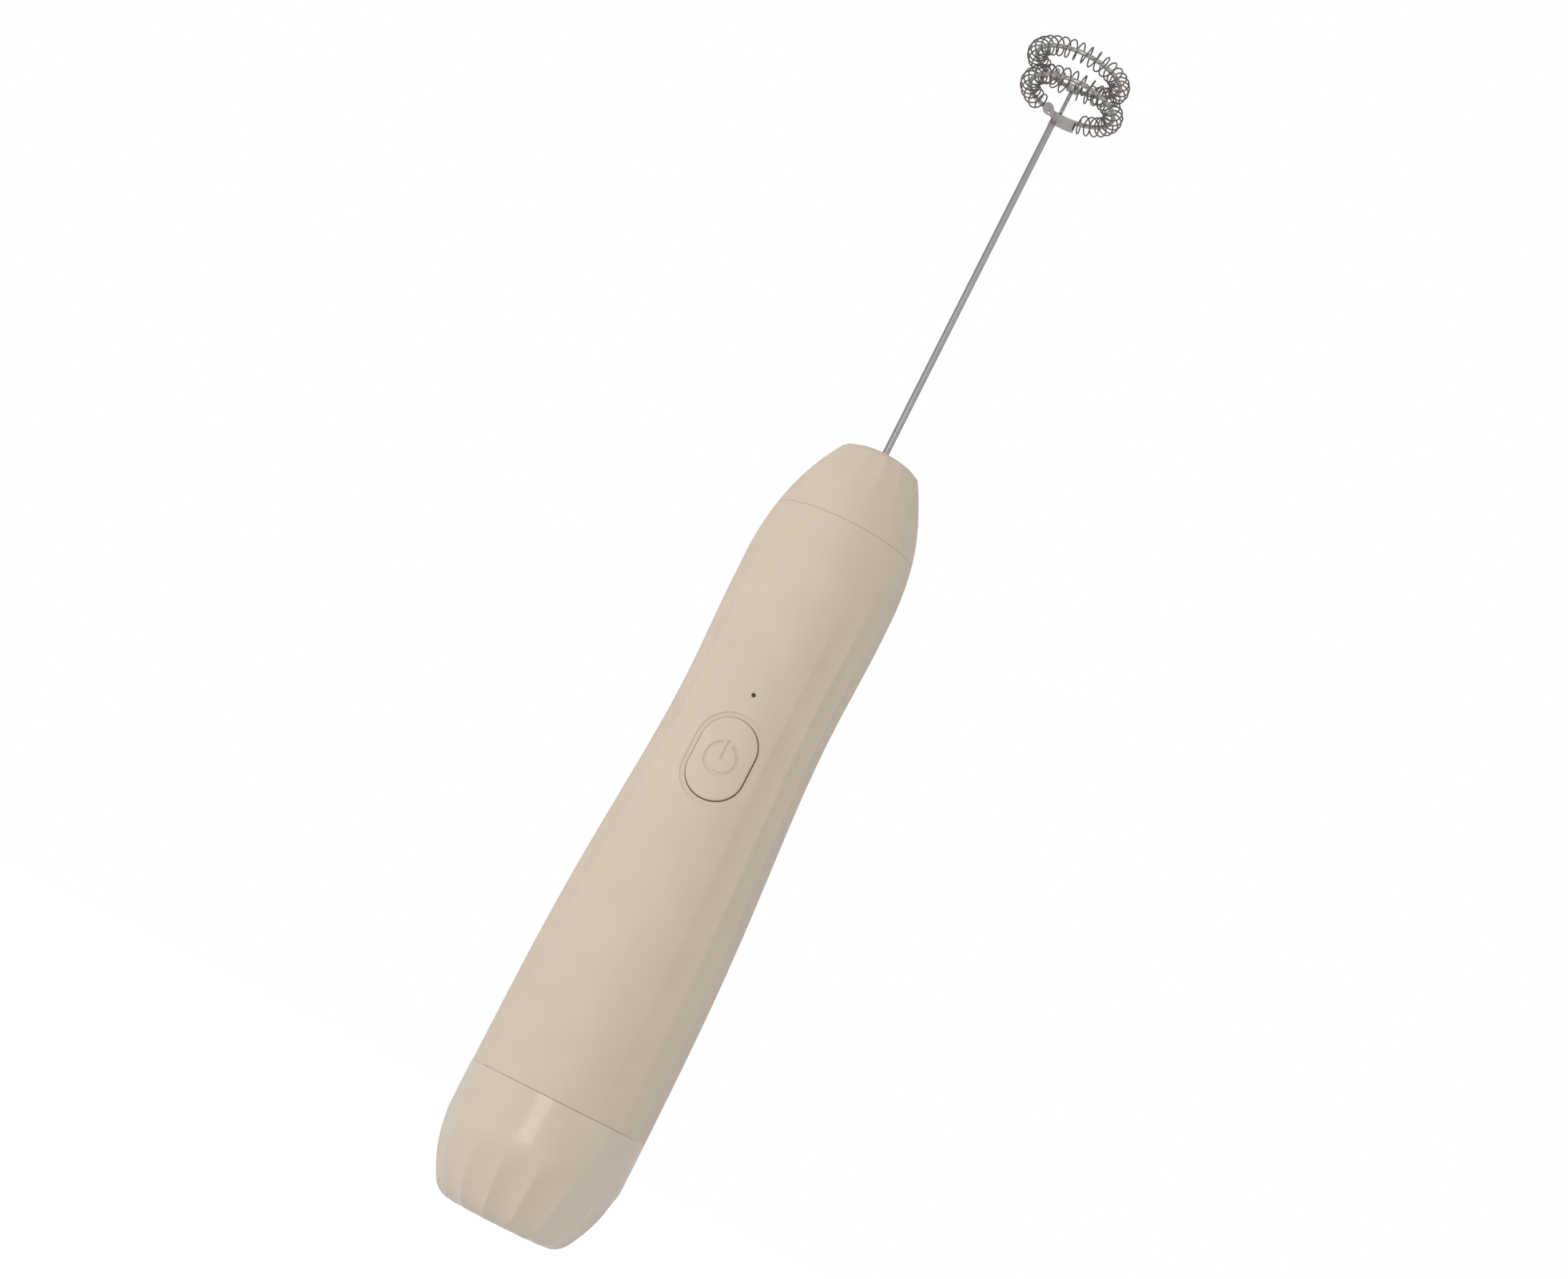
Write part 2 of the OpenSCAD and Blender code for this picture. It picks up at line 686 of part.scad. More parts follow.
module motor_end_bell() color(dark_plastic)
    difference() {
        union() {
            tube(can_r, 0, motor_z0, motor_z0 + bell_t);
            tube(can_r - can_wall - fit, 0, motor_z0, motor_z0 + bell_t + 1);
        }
        tube(bush_r + fit, 0, motor_z0 + 0.6, motor_z0 + bell_t + 2);
        both_sides(terminal_x) translate([-0.3, -1, motor_z0 - 1]) cube([0.6, 2, bell_t + 3]);
    }

module motor_bushes() color(brass) {
    tube(bush_r, rotor_bore_r, motor_z0 + 0.7, motor_z0 + 0.7 + bush_l);
    tube(bush_r, rotor_bore_r, motor_z1 + boss_h - bush_l, motor_z1 + boss_h);
}

module motor_brushes() color(copper) {
    z = commutator_z0 + 0.6;
    for (a = [0, 180]) rotate(a) {
        translate([commutator_r + free_gap, -0.8, z]) cube([2, 1.6, 1.8]);
        translate([commutator_r + free_gap + 2, -0.8, motor_z0 + bell_t + 1])
            cube([0.4, 1.6, z + 1.8 - motor_z0 - bell_t - 1]);
    }
}

module motor_terminals() color(brass)
    both_sides(terminal_x)
        translate([-0.2, -0.9, motor_z0 - terminal_l])
            cube([0.4, 1.8, terminal_l + bell_t]);

module motor_shaft() color(steel)
    tube(motor_shaft_d / 2, 0, motor_z0 + 0.9, motor_shaft_z1);

// Slot between two poles of the armature, shrunk by a gap for the winding in it
module pole_slot(z0, z1, gap) {
    slot_w = 3;
    slot_r0 = 3.2;
    slot_r1 = armature_r - 1.2;
    translate([slot_r0 + gap, -slot_w / 2 + gap, z0])
        cube([slot_r1 - slot_r0 - 2 * gap, slot_w - 2 * gap, z1 - z0]);
}

module armature_core() color(dark_steel)
    difference() {
        tube(armature_r, motor_shaft_d / 2 + fit, armature_z0, armature_z0 + armature_l);
        for (a = [0, 120, 240]) rotate(a) {
            pole_slot(armature_z0 - 1, armature_z0 + armature_l + 1, 0);
            translate([armature_r - 1.3, -0.5, armature_z0 - 1]) cube([3, 1, armature_l + 2]);
        }
    }

module armature_windings() color(copper) {
    end_h = 1.3;
    z0 = armature_z0 - end_h - fit;
    z1 = armature_z0 + armature_l + fit;
    for (a = [0, 120, 240]) rotate(a) pole_slot(z0, z1 + end_h, fit);
    for (z = [z0, z1]) tube(armature_r - 1.4, 3.2, z, z + end_h);
}

module commutator() color(copper)
    difference() {
        tube(commutator_r, motor_shaft_d / 2 + fit, commutator_z0, commutator_z0 + commutator_l);
        for (a = [60, 180, 300]) rotate(a)
            translate([commutator_r - 0.5, -0.15, commutator_z0 - 1]) cube([1, 0.3, commutator_l + 2]);
    }

module motor_sleeve() color(rubber)
    tube(bore_r - fit, can_r + fit, motor_z0 + bell_t, motor_z1 - fit);

module motor_plate() color(steel)
    difference() {
        tube(bore_r - fit, boss_r + fit, motor_z1, motor_z1 + plate_t);
        both_sides(motor_screw_x) tube(screw_r + fit, 0, motor_z1 - 1, motor_z1 + plate_t + 1);
    }

module motor_screws() color(dark_steel)
    both_sides(motor_screw_x) {
        tube(screw_r, 0, motor_z1 - 1, motor_z1 + plate_t);
        tube(1.8, 0, motor_z1 + plate_t, motor_z1 + plate_t + 0.8);
    }

// ---------------------------------------------------------------- Drive in the nose

module coupling() color(brass)
    difference() {
        tube(coupling_d / 2, 0, coupling_z0, coupling_z1);
        tube(motor_shaft_d / 2 + fit / 2, 0, coupling_z0 - 1, motor_shaft_z1 + free_gap);
        tube(shaft_d / 2 + fit / 2, 0, motor_shaft_z1, coupling_z1 + 1);
    }

module nose_bush() color(brass)
    tube(pocket_r, shaft_d / 2 + running_gap, bush_z0, bush_z1);

module shaft_seal() color(rubber)
    tube(pocket_r, shaft_d / 2 + running_gap, bush_z1, bush_z1 + seal_h);

// ---------------------------------------------------------------- Whisk

module whisk_shaft() color(steel) rotate(whisk_turn)
    tube(shaft_d / 2, 0, whisk_z0, arm_z0 - bend_l);

// Wire that carries on from the shaft, bends over and climbs to the clip at the ring
module whisk_arm() color(steel) rotate(whisk_turn) {
    bend = [for (i = [0:bend_steps]) let (a = bend_arc * i / bend_steps)
        [0, shaft_bend * (1 - cos(a)), arm_z0 - bend_l + shaft_bend * sin(a)]];
    arm_end = [0, ring_r, arm_z1];
    tangents = [for (i = [0:bend_steps]) let (a = bend_arc * i / bend_steps) [0, sin(a), cos(a)]];
    path = concat(bend, [arm_end]);
    sweep(path, concat(tangents, [[0, cos(arm_tilt), sin(arm_tilt)]]),
        [for (p = path) [1, 0, 0]], shaft_d / 2, 16);
}

// Channel folded up round the lower ring's wire, open at its top
module ring_clip() color(steel) at_lower_ring(90 - clip_turn - clip_arc / 2) {
    side = clip_in + clip_t;
    rotate_extrude(angle = clip_arc) translate([ring_r, -clip_drop]) polygon([
        [-side, 0], [side, 0], [side, clip_h], [clip_in, clip_h],
        [clip_in, clip_t], [-clip_in, clip_t], [-clip_in, clip_h], [-side, clip_h]]);
}

// Round, pierced lug that carries on from the clip's inner wall
module clip_lug() color(steel) at_lower_ring(90 - clip_turn + clip_arc / 2)
    translate([ring_r - clip_in - clip_t, 0, lug_z]) rotate(lug_turn)
        rotate([90, 0, 90]) linear_extrude(clip_t) difference() {
            union() {
                translate([lug_reach * lug_r, 0]) circle(r = lug_r);
                translate([0, -0.9 * lug_r]) square([lug_reach * lug_r, 1.2 * lug_r]);
            }
            translate([lug_r, -0.4 * lug_r]) circle(r = lug_hole_r);
        }

module at_lower_ring(a) {
    rotate(whisk_turn) translate([lower_set, 0, lower_z]) rotate([-ring_tilt, 0, 0])
        rotate(a) children();
}

module link_post() color(steel) rotate(whisk_turn + 90 - post_arc) translate([ring_r, 0, 0])
    tube(post_r, 0, lower_z + ring_wire_r - ring_r * sin(ring_tilt), upper_z - ferrule_r);

module upper_ferrule() color(steel) rotate(whisk_turn) {
    arc = ferrule_l / ring_r * 180 / PI;
    translate([0, 0, upper_z]) rotate(90 - post_arc - arc / 2)
        rotate_extrude(angle = arc) translate([ring_r, 0]) difference() {
            circle(r = ferrule_r);
            circle(r = ring_wire_r + fit);
        }
}

module ring_wire() {
    rotate_extrude() translate([ring_r, 0]) circle(r = ring_wire_r);
}

module lower_ring_wire() color(steel) at_lower_ring(0) ring_wire();

module upper_ring_wire() color(steel) rotate(whisk_turn)
    translate([0, 0, upper_z]) ring_wire();

// A point on the coil: it winds round the ring's wire while that runs round the ring
function coil_point(a, r_out) =
    let (b = a * coil_turns, r = ring_r + r_out * cos(b))
    [r * cos(a), r * sin(a), r_out * sin(b)];

// The coil's wire, swept from one angle of the ring to another
module coil(a0, a1) {
    rings = round((a1 - a0) / 360 * coil_turns * coil_steps);
    angles = [for (i = [0:rings]) a0 + (a1 - a0) * i / rings];
    path = [for (a = angles) coil_point(a, coil_path_r)];
    tangents = [for (a = angles)
        unit(coil_point(a + 0.05, coil_path_r) - coil_point(a - 0.05, coil_path_r))];
    sides_from = [for (a = angles) coil_point(a, coil_path_r + 1) - coil_point(a, coil_path_r)];
    sweep(path, tangents, sides_from, coil_wire_d / 2, coil_sides);
}

module lower_coil() color(dark_steel) at_lower_ring(0) {
    clip_a = 90 - clip_turn;
    coil(clip_a + clip_arc / 2 + lug_arc + coil_gap, clip_a + 360 - clip_arc / 2 - coil_gap);
}

module upper_coil() color(dark_steel) rotate(whisk_turn) {
    half_gap = ferrule_l / ring_r * 90 / PI + coil_gap;
    translate([0, 0, upper_z]) coil(90 - post_arc + half_gap, 450 - post_arc - half_gap);
}

// ---------------------------------------------------------------- Wiring

module motor_leads() color("firebrick")
    for (side = [-1, 1])
        lead([[side * (terminal_x - 0.8), -0.6, ledge_z - terminal_l + 0.4],
              [side * (terminal_x - 1.4), -2.4, ledge_z - terminal_l - 0.4],
              [side * (terminal_x - 1.6), -board_back + lead_stub, ledge_z - terminal_l],
              [side * (terminal_x - 1.6), -board_back, ledge_z - terminal_l]]);

module cell_leads() color("firebrick") {
    side_y = cell_y - 2 - 2 * lead_r - free_gap;
    side_x = cell_r + 0.6;
    port_y = -usb_h / 2;
    port_z = port_board_z1 - 1.4;
    over_board = port_board_z1 + lead_r + free_gap;
    lead([[4.6, port_y, port_z], [4.6, port_y + lead_stub, port_z],
          [3.4, max(cell_y - 1, port_y + lead_stub), cell_z0 - contact_t - lead_r]]);
    lead([[6.8, port_y, port_z], [6.8, port_y + lead_stub, port_z],
          [6.8, port_y + lead_stub, over_board],
          [side_x, side_y, cell_z0 + 2], [side_x, side_y, cell_z1 - 0.2],
          [contact_w / 2 + 1.1, cell_y - 1, cell_z1 + contact_t / 4]]);
}

module power_leads() color([0.2, 0.2, 0.2])
    for (side = [-1, 1])
        lead([[side * 6.2, -usb_h / 2 - board_t - lead_r, port_board_z1 - 1.4],
              [side * 8.9, -board_back + 0.8, cell_z0 + 4],
              [side * 8.9, -board_back + 0.8, cell_z1 - 6],
              [side * 7.4, -board_back + 1.3, stop_z0 - 1],
              [side * 7.4, -board_back + 1.3, stop_z0 + rib_t + 1],
              [side * 5.4, -board_back + lead_stub, max(board_z0, stop_z0) + rib_t + 4],
              [side * 5.4, -board_back, max(board_z0, stop_z0) + rib_t + 4]]);

body_shell();
nose_cap();
nose_oring();
bottom_cap();
end_plug();
cap_oring();
end_screws();
button();
switch_plunger();
button_gasket();
tact_switch();
indicator_lens();
indicator_led();
control_board();
board_chips();
board_screws();
usb_shell();
usb_tongue();
port_board();
chassis();
battery_cell();
battery_contacts();
battery_bands();
motor_can();
motor_magnets();
motor_end_bell();
motor_brushes();
motor_terminals();
motor_bushes();
motor_shaft();
armature_core();
armature_windings();
commutator();
motor_sleeve();
motor_plate();
motor_screws();
coupling();
nose_bush();
shaft_seal();
whisk_shaft();
whisk_arm();
ring_clip();
clip_lug();
link_post();
upper_ferrule();
lower_ring_wire();
upper_ring_wire();
lower_coil();
upper_coil();
motor_leads();
cell_leads();
power_leads();
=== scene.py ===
"""Hand-held milk frother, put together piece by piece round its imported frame."""
import math

import bmesh
import bpy
import numpy as np
from mathutils import Matrix, Vector


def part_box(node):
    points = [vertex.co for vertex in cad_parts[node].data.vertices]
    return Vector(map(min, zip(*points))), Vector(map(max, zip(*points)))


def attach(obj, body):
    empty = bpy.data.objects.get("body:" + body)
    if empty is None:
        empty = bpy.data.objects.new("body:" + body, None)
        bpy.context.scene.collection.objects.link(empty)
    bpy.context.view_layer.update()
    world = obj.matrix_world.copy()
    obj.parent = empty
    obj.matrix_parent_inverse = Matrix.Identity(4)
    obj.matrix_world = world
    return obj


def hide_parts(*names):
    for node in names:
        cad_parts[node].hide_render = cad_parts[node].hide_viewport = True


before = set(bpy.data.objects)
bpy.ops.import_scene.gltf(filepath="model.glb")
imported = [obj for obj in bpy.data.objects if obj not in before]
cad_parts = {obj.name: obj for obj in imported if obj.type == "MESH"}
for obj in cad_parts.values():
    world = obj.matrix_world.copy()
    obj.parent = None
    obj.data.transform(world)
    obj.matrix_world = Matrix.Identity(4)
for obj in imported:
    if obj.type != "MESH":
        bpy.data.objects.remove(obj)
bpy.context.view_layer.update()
scene = bpy.context.scene
mm = 0.001

# ------------------------------------------------------------------ Camera
# It stands half a metre off at the height of the end cap's seam, a little to the button's
# right, looks up along the handle, and is rolled so that the frother leans to the right.
azimuth = math.radians(6.5)
pitch = math.radians(10.3)
roll = math.radians(26.8)
camera_distance = 0.520
camera_height = 0.0239
camera_left = 0.0013
towards = Vector((math.sin(azimuth), -math.cos(azimuth), 0))
sideways = Vector((math.cos(azimuth), math.sin(azimuth), 0))
upright = Vector((0, 0, 1))
look = upright * math.sin(pitch) - towards * math.cos(pitch)
head = upright * math.cos(pitch) + towards * math.sin(pitch)
camera_x = sideways * math.cos(roll) + head * math.sin(roll)
camera_y = head * math.cos(roll) - sideways * math.sin(roll)
camera = bpy.data.objects.new("camera", bpy.data.cameras.new("camera"))
camera.data.lens = 65
camera.data.sensor_width = 36
camera.data.clip_start = 0.02
camera.matrix_world = Matrix((camera_x, camera_y, -look)).transposed().to_4x4()
camera.location = (towards * camera_distance + upright * camera_height
                   - sideways * camera_left)
scene.collection.objects.link(camera)
scene.camera = camera

# ------------------------------------------------------------------ Studio
# A white room that lights the frother evenly, a tall softbox just left of the camera, a
# broad one further left and a wide, weak one to the right, over a pale floor. The frother
# hangs five centimetres over the floor, which leaves room for its cap to be pulled down.
scene.view_settings.view_transform = "Standard"
scene.view_settings.look = "None"
world = bpy.data.worlds.new("studio")
scene.world = world
world.use_nodes = True
tree = world.node_tree
tree.nodes.clear()
room_light = tree.nodes.new("ShaderNodeBackground")
room_light.inputs["Color"].default_value = (0.96, 0.98, 1, 1)
room_light.inputs["Strength"].default_value = 0.66
backdrop = tree.nodes.new("ShaderNodeBackground")
backdrop.inputs["Color"].default_value = (1, 1, 1, 1)
backdrop.inputs["Strength"].default_value = 1.0
light_path = tree.nodes.new("ShaderNodeLightPath")
either = tree.nodes.new("ShaderNodeMixShader")
world_output = tree.nodes.new("ShaderNodeOutputWorld")
tree.links.new(light_path.outputs["Is Camera Ray"], either.inputs[0])
tree.links.new(room_light.outputs[0], either.inputs[1])
tree.links.new(backdrop.outputs[0], either.inputs[2])
tree.links.new(either.outputs[0], world_output.inputs["Surface"])


def softbox(name, bearing, width, height, middle, distance, radiance, in_gloss=True):
    """Upright panel facing the handle's axis, at a bearing in degrees from -Y towards +X.
    Out of the gloss, it lights the frother but isn't mirrored in it."""
    a = math.radians(bearing)
    light = bpy.data.lights.new(name, "AREA")
    light.shape = "RECTANGLE"
    light.size = width
    light.size_y = height
    light.energy = radiance * math.pi * width * height
    panel = bpy.data.objects.new(name, light)
    panel.location = (distance * math.sin(a), -distance * math.cos(a), middle)
    aim = Vector((0, 0, middle)) - panel.location
    panel.rotation_euler = aim.to_track_quat("-Z", "Y").to_euler()
    panel.visible_camera = False
    panel.visible_glossy = in_gloss
    scene.collection.objects.link(panel)


softbox("strip_light", -9, 0.38, 0.9, 0.10, 1.2, 2.9)
softbox("key_light", -60, 0.90, 1.2, 0.20, 1.3, 2.5, in_gloss=False)
softbox("fill_light", 59, 1.00, 0.9, 0.45, 1.2, 0.48)

floor_radius = 6
floor_z = -0.05
floor_sides = 96
floor_turn = np.linspace(0, 2 * np.pi, floor_sides, endpoint=False)
floor_points = np.stack([floor_radius * np.cos(floor_turn), floor_radius * np.sin(floor_turn),
                         np.full(floor_sides, floor_z)], 1)
floor_mesh = bpy.data.meshes.new("floor")
floor_mesh.from_pydata(floor_points.tolist(), [], [list(range(floor_sides))])
floor = bpy.data.objects.new("floor", floor_mesh)
scene.collection.objects.link(floor)
floor_paint = bpy.data.materials.new("pale_floor")
floor_paint.use_nodes = True
tree = floor_paint.node_tree
tree.nodes.clear()
glow = tree.nodes.new("ShaderNodeEmission")
light_path = tree.nodes.new("ShaderNodeLightPath")
glow_share = tree.nodes.new("ShaderNodeMapRange")
glow_share.inputs["To Min"].default_value = 0.20
glow_share.inputs["To Max"].default_value = 0.90
tree.links.new(light_path.outputs["Is Camera Ray"], glow_share.inputs["Value"])
tree.links.new(glow_share.outputs["Result"], glow.inputs["Strength"])
matt = tree.nodes.new("ShaderNodeBsdfDiffuse")
matt.inputs["Color"].default_value = (0.65, 0.65, 0.65, 1)
both = tree.nodes.new("ShaderNodeAddShader")
floor_output = tree.nodes.new("ShaderNodeOutputMaterial")
tree.links.new(glow.outputs[0], both.inputs[0])
tree.links.new(matt.outputs[0], both.inputs[1])
tree.links.new(both.outputs[0], floor_output.inputs["Surface"])
floor_mesh.materials.append(floor_paint)


# ------------------------------------------------------------------ Body shell
# Injection-moulded matt shell, narrow at the waist, with a smooth panel for the button in
# front and shallow concave flutes round the rest. The button's opening has a sunk rim.
body_lo, body_hi = (np.array(corner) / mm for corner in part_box("body_shell"))
seam_z = body_lo[2]
nose_seam_z = body_hi[2]
heel_r = (body_hi[0] - body_lo[0]) / 2
seam_r = 14.1
shoulder_r = 15.2
waist_r = 14.68
shoulder_z = nose_seam_z - 14.4
waist_z = nose_seam_z - 36.9
motor_ledge_z = nose_seam_z - 32.9
motor_bore_r = 12.1
shell_wall = 2.0
heel_bow = 1.55
nose_bow = 2.55
edge_soft = 0.07


def ramp(t):
    """Half a cosine wave, from 0 at t = 0 to 1 at t = 1, held beyond both ends."""
    return (1 - np.cos(np.pi * np.clip(t, 0, 1))) / 2


def outer_r(z):
    """Handle's radius at a height: heel to waist, waist to shoulder, then a power curve in."""
    low = (np.clip(z, seam_z, waist_z) - seam_z) / (waist_z - seam_z)
    high = np.clip((z - shoulder_z) / (nose_seam_z - shoulder_z), 0, None)
    r = waist_r + (heel_r - waist_r) * (1 - ramp(low ** heel_bow))
    r = r + (shoulder_r - waist_r) * ramp((z - waist_z) / (shoulder_z - waist_z))
    return r - (shoulder_r - seam_r) * high ** nose_bow


def rounding(distance, radius):
    """How far a rounded edge of that radius stands back, at a distance from the end."""
    gone = radius - np.clip(distance, 0, radius)
    return radius - np.sqrt(radius ** 2 - gone ** 2)


def polar(r, theta, z):
    """Points in millimetres at a radius and height, theta in degrees from -Y towards +X."""
    a = np.radians(theta)
    return np.stack(np.broadcast_arrays(r * np.sin(a), -r * np.cos(a), z), -1)


def obround(bearing, half_w, half_l):
    """Where a ray at that bearing meets an obround: its straight side or its round end."""
    c, s, h = np.cos(bearing), np.sin(bearing), half_l - half_w
    end_r = h * np.abs(s) + np.sqrt(np.clip(half_w ** 2 - (h * c) ** 2, 0, None))
    side_r = half_w / np.maximum(np.abs(c), 1e-9)
    r = np.where(half_w * np.abs(s) < h * np.abs(c), side_r, end_r)
    return r * c, r * s


def closed(numbers):
    """A grid of point numbers with its first column repeated after its last."""
    return np.concatenate([numbers, numbers[:, :1]], 1)


class Skin:
    """Points and faces of one closed surface, in millimetres, gathered grid by grid."""

    def __init__(self):
        self.points, self.faces, self.count = [], [], 0

    def add(self, points):
        """Takes an array of points and returns their numbers, in the same grid."""
        shape = points.shape[:-1]
        size = int(np.prod(shape))
        self.points.append(points.reshape(-1, 3))
        self.count += size
        return np.arange(self.count - size, self.count).reshape(shape)

    def join(self, numbers, keep=None):
        """Quads between neighbours in a grid of point numbers, or those that keep allows."""
        q = np.stack([numbers[:-1, :-1], numbers[:-1, 1:], numbers[1:, 1:], numbers[1:, :-1]], -1)
        self.faces += (q.reshape(-1, 4) if keep is None else q[keep]).tolist()

    def cap(self, ring, centre):
        """Triangles from a closed ring of point numbers to a centre point."""
        middle = np.full(len(ring), self.add(np.array([centre], float))[0])
        self.faces += np.stack([ring, np.roll(ring, -1), middle], 1).tolist()

    def piece(self, name, body, material, nodes, sharp=50):
        """Makes the object: normals outwards, smooth but for edges past the sharp angle."""
        mesh = bpy.data.meshes.new(name)
        mesh.from_pydata((np.concatenate(self.points) * mm).tolist(), [], self.faces)
        work = bmesh.new()
        work.from_mesh(mesh)
        bmesh.ops.recalc_face_normals(work, faces=work.faces)
        work.to_mesh(mesh)
        work.free()
        mesh.shade_smooth()
        mesh.set_sharp_from_angle(angle=math.radians(sharp))
        mesh.materials.append(material)
        made = bpy.data.objects.new(name, mesh)
        scene.collection.objects.link(made)
        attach(made, body)
        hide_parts(*nodes)
        return made


class Finish:
    """A material's node tree, with the few nodes that the finishes here are made from."""

    def __init__(self, name, roughness, metallic=0.0):
        self.material = bpy.data.materials.new(name)
        self.material.use_nodes = True
        self.tree = self.material.node_tree
        self.shader = self.tree.nodes["Principled BSDF"]
        self.shader.inputs["Roughness"].default_value = roughness
        self.shader.inputs["Metallic"].default_value = metallic
        self.places = self.tree.nodes.new("ShaderNodeTexCoord").outputs["Object"]

    def node(self, kind, **values):
        made = self.tree.nodes.new(kind)
        for name, value in values.items():
            made.inputs[name].default_value = value
        return made

    def link(self, source, target):
        self.tree.links.new(source, target)

    def noise(self, size, detail=2.0, stretch=(1, 1, 1), rough=0.5):
        """Noise whose grains are about size millimetres across, longer where stretched."""
        spread = self.node("ShaderNodeMapping")
        spread.inputs["Scale"].default_value = [1 / (size * mm * s) for s in stretch]
        made = self.node("ShaderNodeTexNoise", Scale=1.0, Detail=detail, Roughness=rough)
        self.link(self.places, spread.inputs["Vector"])
        self.link(spread.outputs[0], made.inputs["Vector"])
        return made.outputs["Fac"]

    def between(self, value, low, high, start=0.3, stop=0.7):
        """Carries a value from the range start..stop over to low..high."""
        made = self.node("ShaderNodeMapRange")
        made.inputs["From Min"].default_value = start
        made.inputs["From Max"].default_value = stop
        made.inputs["To Min"].default_value = low
        made.inputs["To Max"].default_value = high
        self.link(value, made.inputs["Value"])
        return made.outputs["Result"]

    def colours(self, value, dark, light, start=0.3, stop=0.7):
        """Runs the base colour from dark to light as a value goes from start to stop."""
        made = self.tree.nodes.new("ShaderNodeValToRGB")
        made.color_ramp.elements[0].position = start
        made.color_ramp.elements[1].position = stop
        made.color_ramp.elements[0].color = (*dark, 1)
        made.color_ramp.elements[1].color = (*light, 1)
        self.link(value, made.inputs["Fac"])
        self.link(made.outputs["Color"], self.shader.inputs["Base Color"])

    def relief(self, height, depth):
        """Bump of that depth in millimetres."""
        made = self.node("ShaderNodeBump", Strength=1.0, Distance=depth * mm)
        self.link(height, made.inputs["Height"])
        self.link(made.outputs["Normal"], self.shader.inputs["Normal"])


def moulded_plastic(name, colour, roughness, grain, depth, coat=0.0):
    """Solid-coloured moulding: faint cloudy tint, fine spark-eroded grain, uneven gloss."""
    finish = Finish(name, roughness)
    clouds = finish.noise(9, detail=3)
    tone = np.array(colour)
    finish.colours(clouds, tuple(tone * 0.975), tuple(np.minimum(tone * 1.02, 1)))
    gloss = finish.noise(2.4, detail=4)
    finish.link(finish.between(gloss, roughness - 0.05, roughness + 0.06),
                finish.shader.inputs["Roughness"])
    finish.relief(finish.noise(grain, detail=2, rough=0.6), depth)
    finish.shader.inputs["Coat Weight"].default_value = coat
    finish.shader.inputs["Coat Roughness"].default_value = 0.14
    return finish.material


body_colour = (0.614, 0.511, 0.404)
body_plastic = moulded_plastic("body_plastic", body_colour, 0.55, 0.28, 0.004)

button_w = 10.8
button_l = 15.9
button_gap = 0.12
rim_w = 0.95
rim_depth = 0.2
button_z = nose_seam_z - 49.9
lens_z = nose_seam_z - 36.9
lens_hole_r = 0.40

panel_half = 30
flute_pitch = 20
flute_depth = 0.50
flutes_end_z = nose_seam_z - 7
flute_fade_top = 17
flute_fade_heel = 52
heel_share = 0.35


def flute(theta, z):
    """Depth of the flutes: parabolas between ridges, fading out above and shallower below."""
    turn = np.mod(theta, 360)
    across = np.mod(turn - panel_half, flute_pitch) / flute_pitch
    hollow = 4 * across * (1 - across) * ((turn > panel_half) & (turn < 360 - panel_half))
    above = ramp((flutes_end_z - z) / flute_fade_top)
    below = heel_share + (1 - heel_share) * ramp((z - seam_z) / flute_fade_heel)
    return flute_depth * hollow * (above * below)


def body_r(theta, z):
    """Outside of the body, with its flutes and with both ends rounded over."""
    edge = rounding(np.minimum(z - seam_z, nose_seam_z - z), edge_soft)
    return outer_r(z) - flute(theta, z) - edge


def inner_r(z):
    """Inside of the body: a wall's thickness in, and the motor's bore above its ledge."""
    return np.where(z < motor_ledge_z, outer_r(z) - shell_wall, motor_bore_r)


front_half = 28
opening_half_l = 9.6
lens_half = 1.2
edge_rows = edge_soft * (1 - np.cos(np.radians([0, 22.5, 45, 67.5, 90])))
theta = np.concatenate([np.linspace(-front_half, front_half, 57), [29],
                        np.arange(panel_half, 360 - panel_half + 1, 2), [331]])
heights = np.unique(np.round(np.concatenate([
    seam_z + edge_rows,
    np.linspace(seam_z + 0.9, button_z - opening_half_l, 64),
    np.linspace(button_z - opening_half_l, button_z + opening_half_l, 57),
    np.linspace(button_z + opening_half_l, lens_z - lens_half, 4),
    np.linspace(lens_z - lens_half, lens_z + lens_half, 11),
    np.linspace(lens_z + lens_half, nose_seam_z - 0.9, 40),
    nose_seam_z - edge_rows]), 5))


def rows_at(z, reach):
    """Rows of the grid that lie that far below and above a height."""
    return np.searchsorted(heights, np.round(z + np.array([-1, 1]) * reach, 5))


row = {"button": rows_at(button_z, opening_half_l), "lens": rows_at(lens_z, lens_half)}
column = {"button": (0, 56), "lens": (23, 33)}
keep = np.ones((len(heights) - 1, len(theta)), bool)
for hole in row:
    keep[row[hole][0]:row[hole][1], column[hole][0]:column[hole][1]] = False


def border(numbers):
    """Point numbers round the edge of a patch of the grid, in order."""
    return np.concatenate([numbers[0, :-1], numbers[:-1, -1],
                           numbers[-1, :0:-1], numbers[:0:-1, 0]])


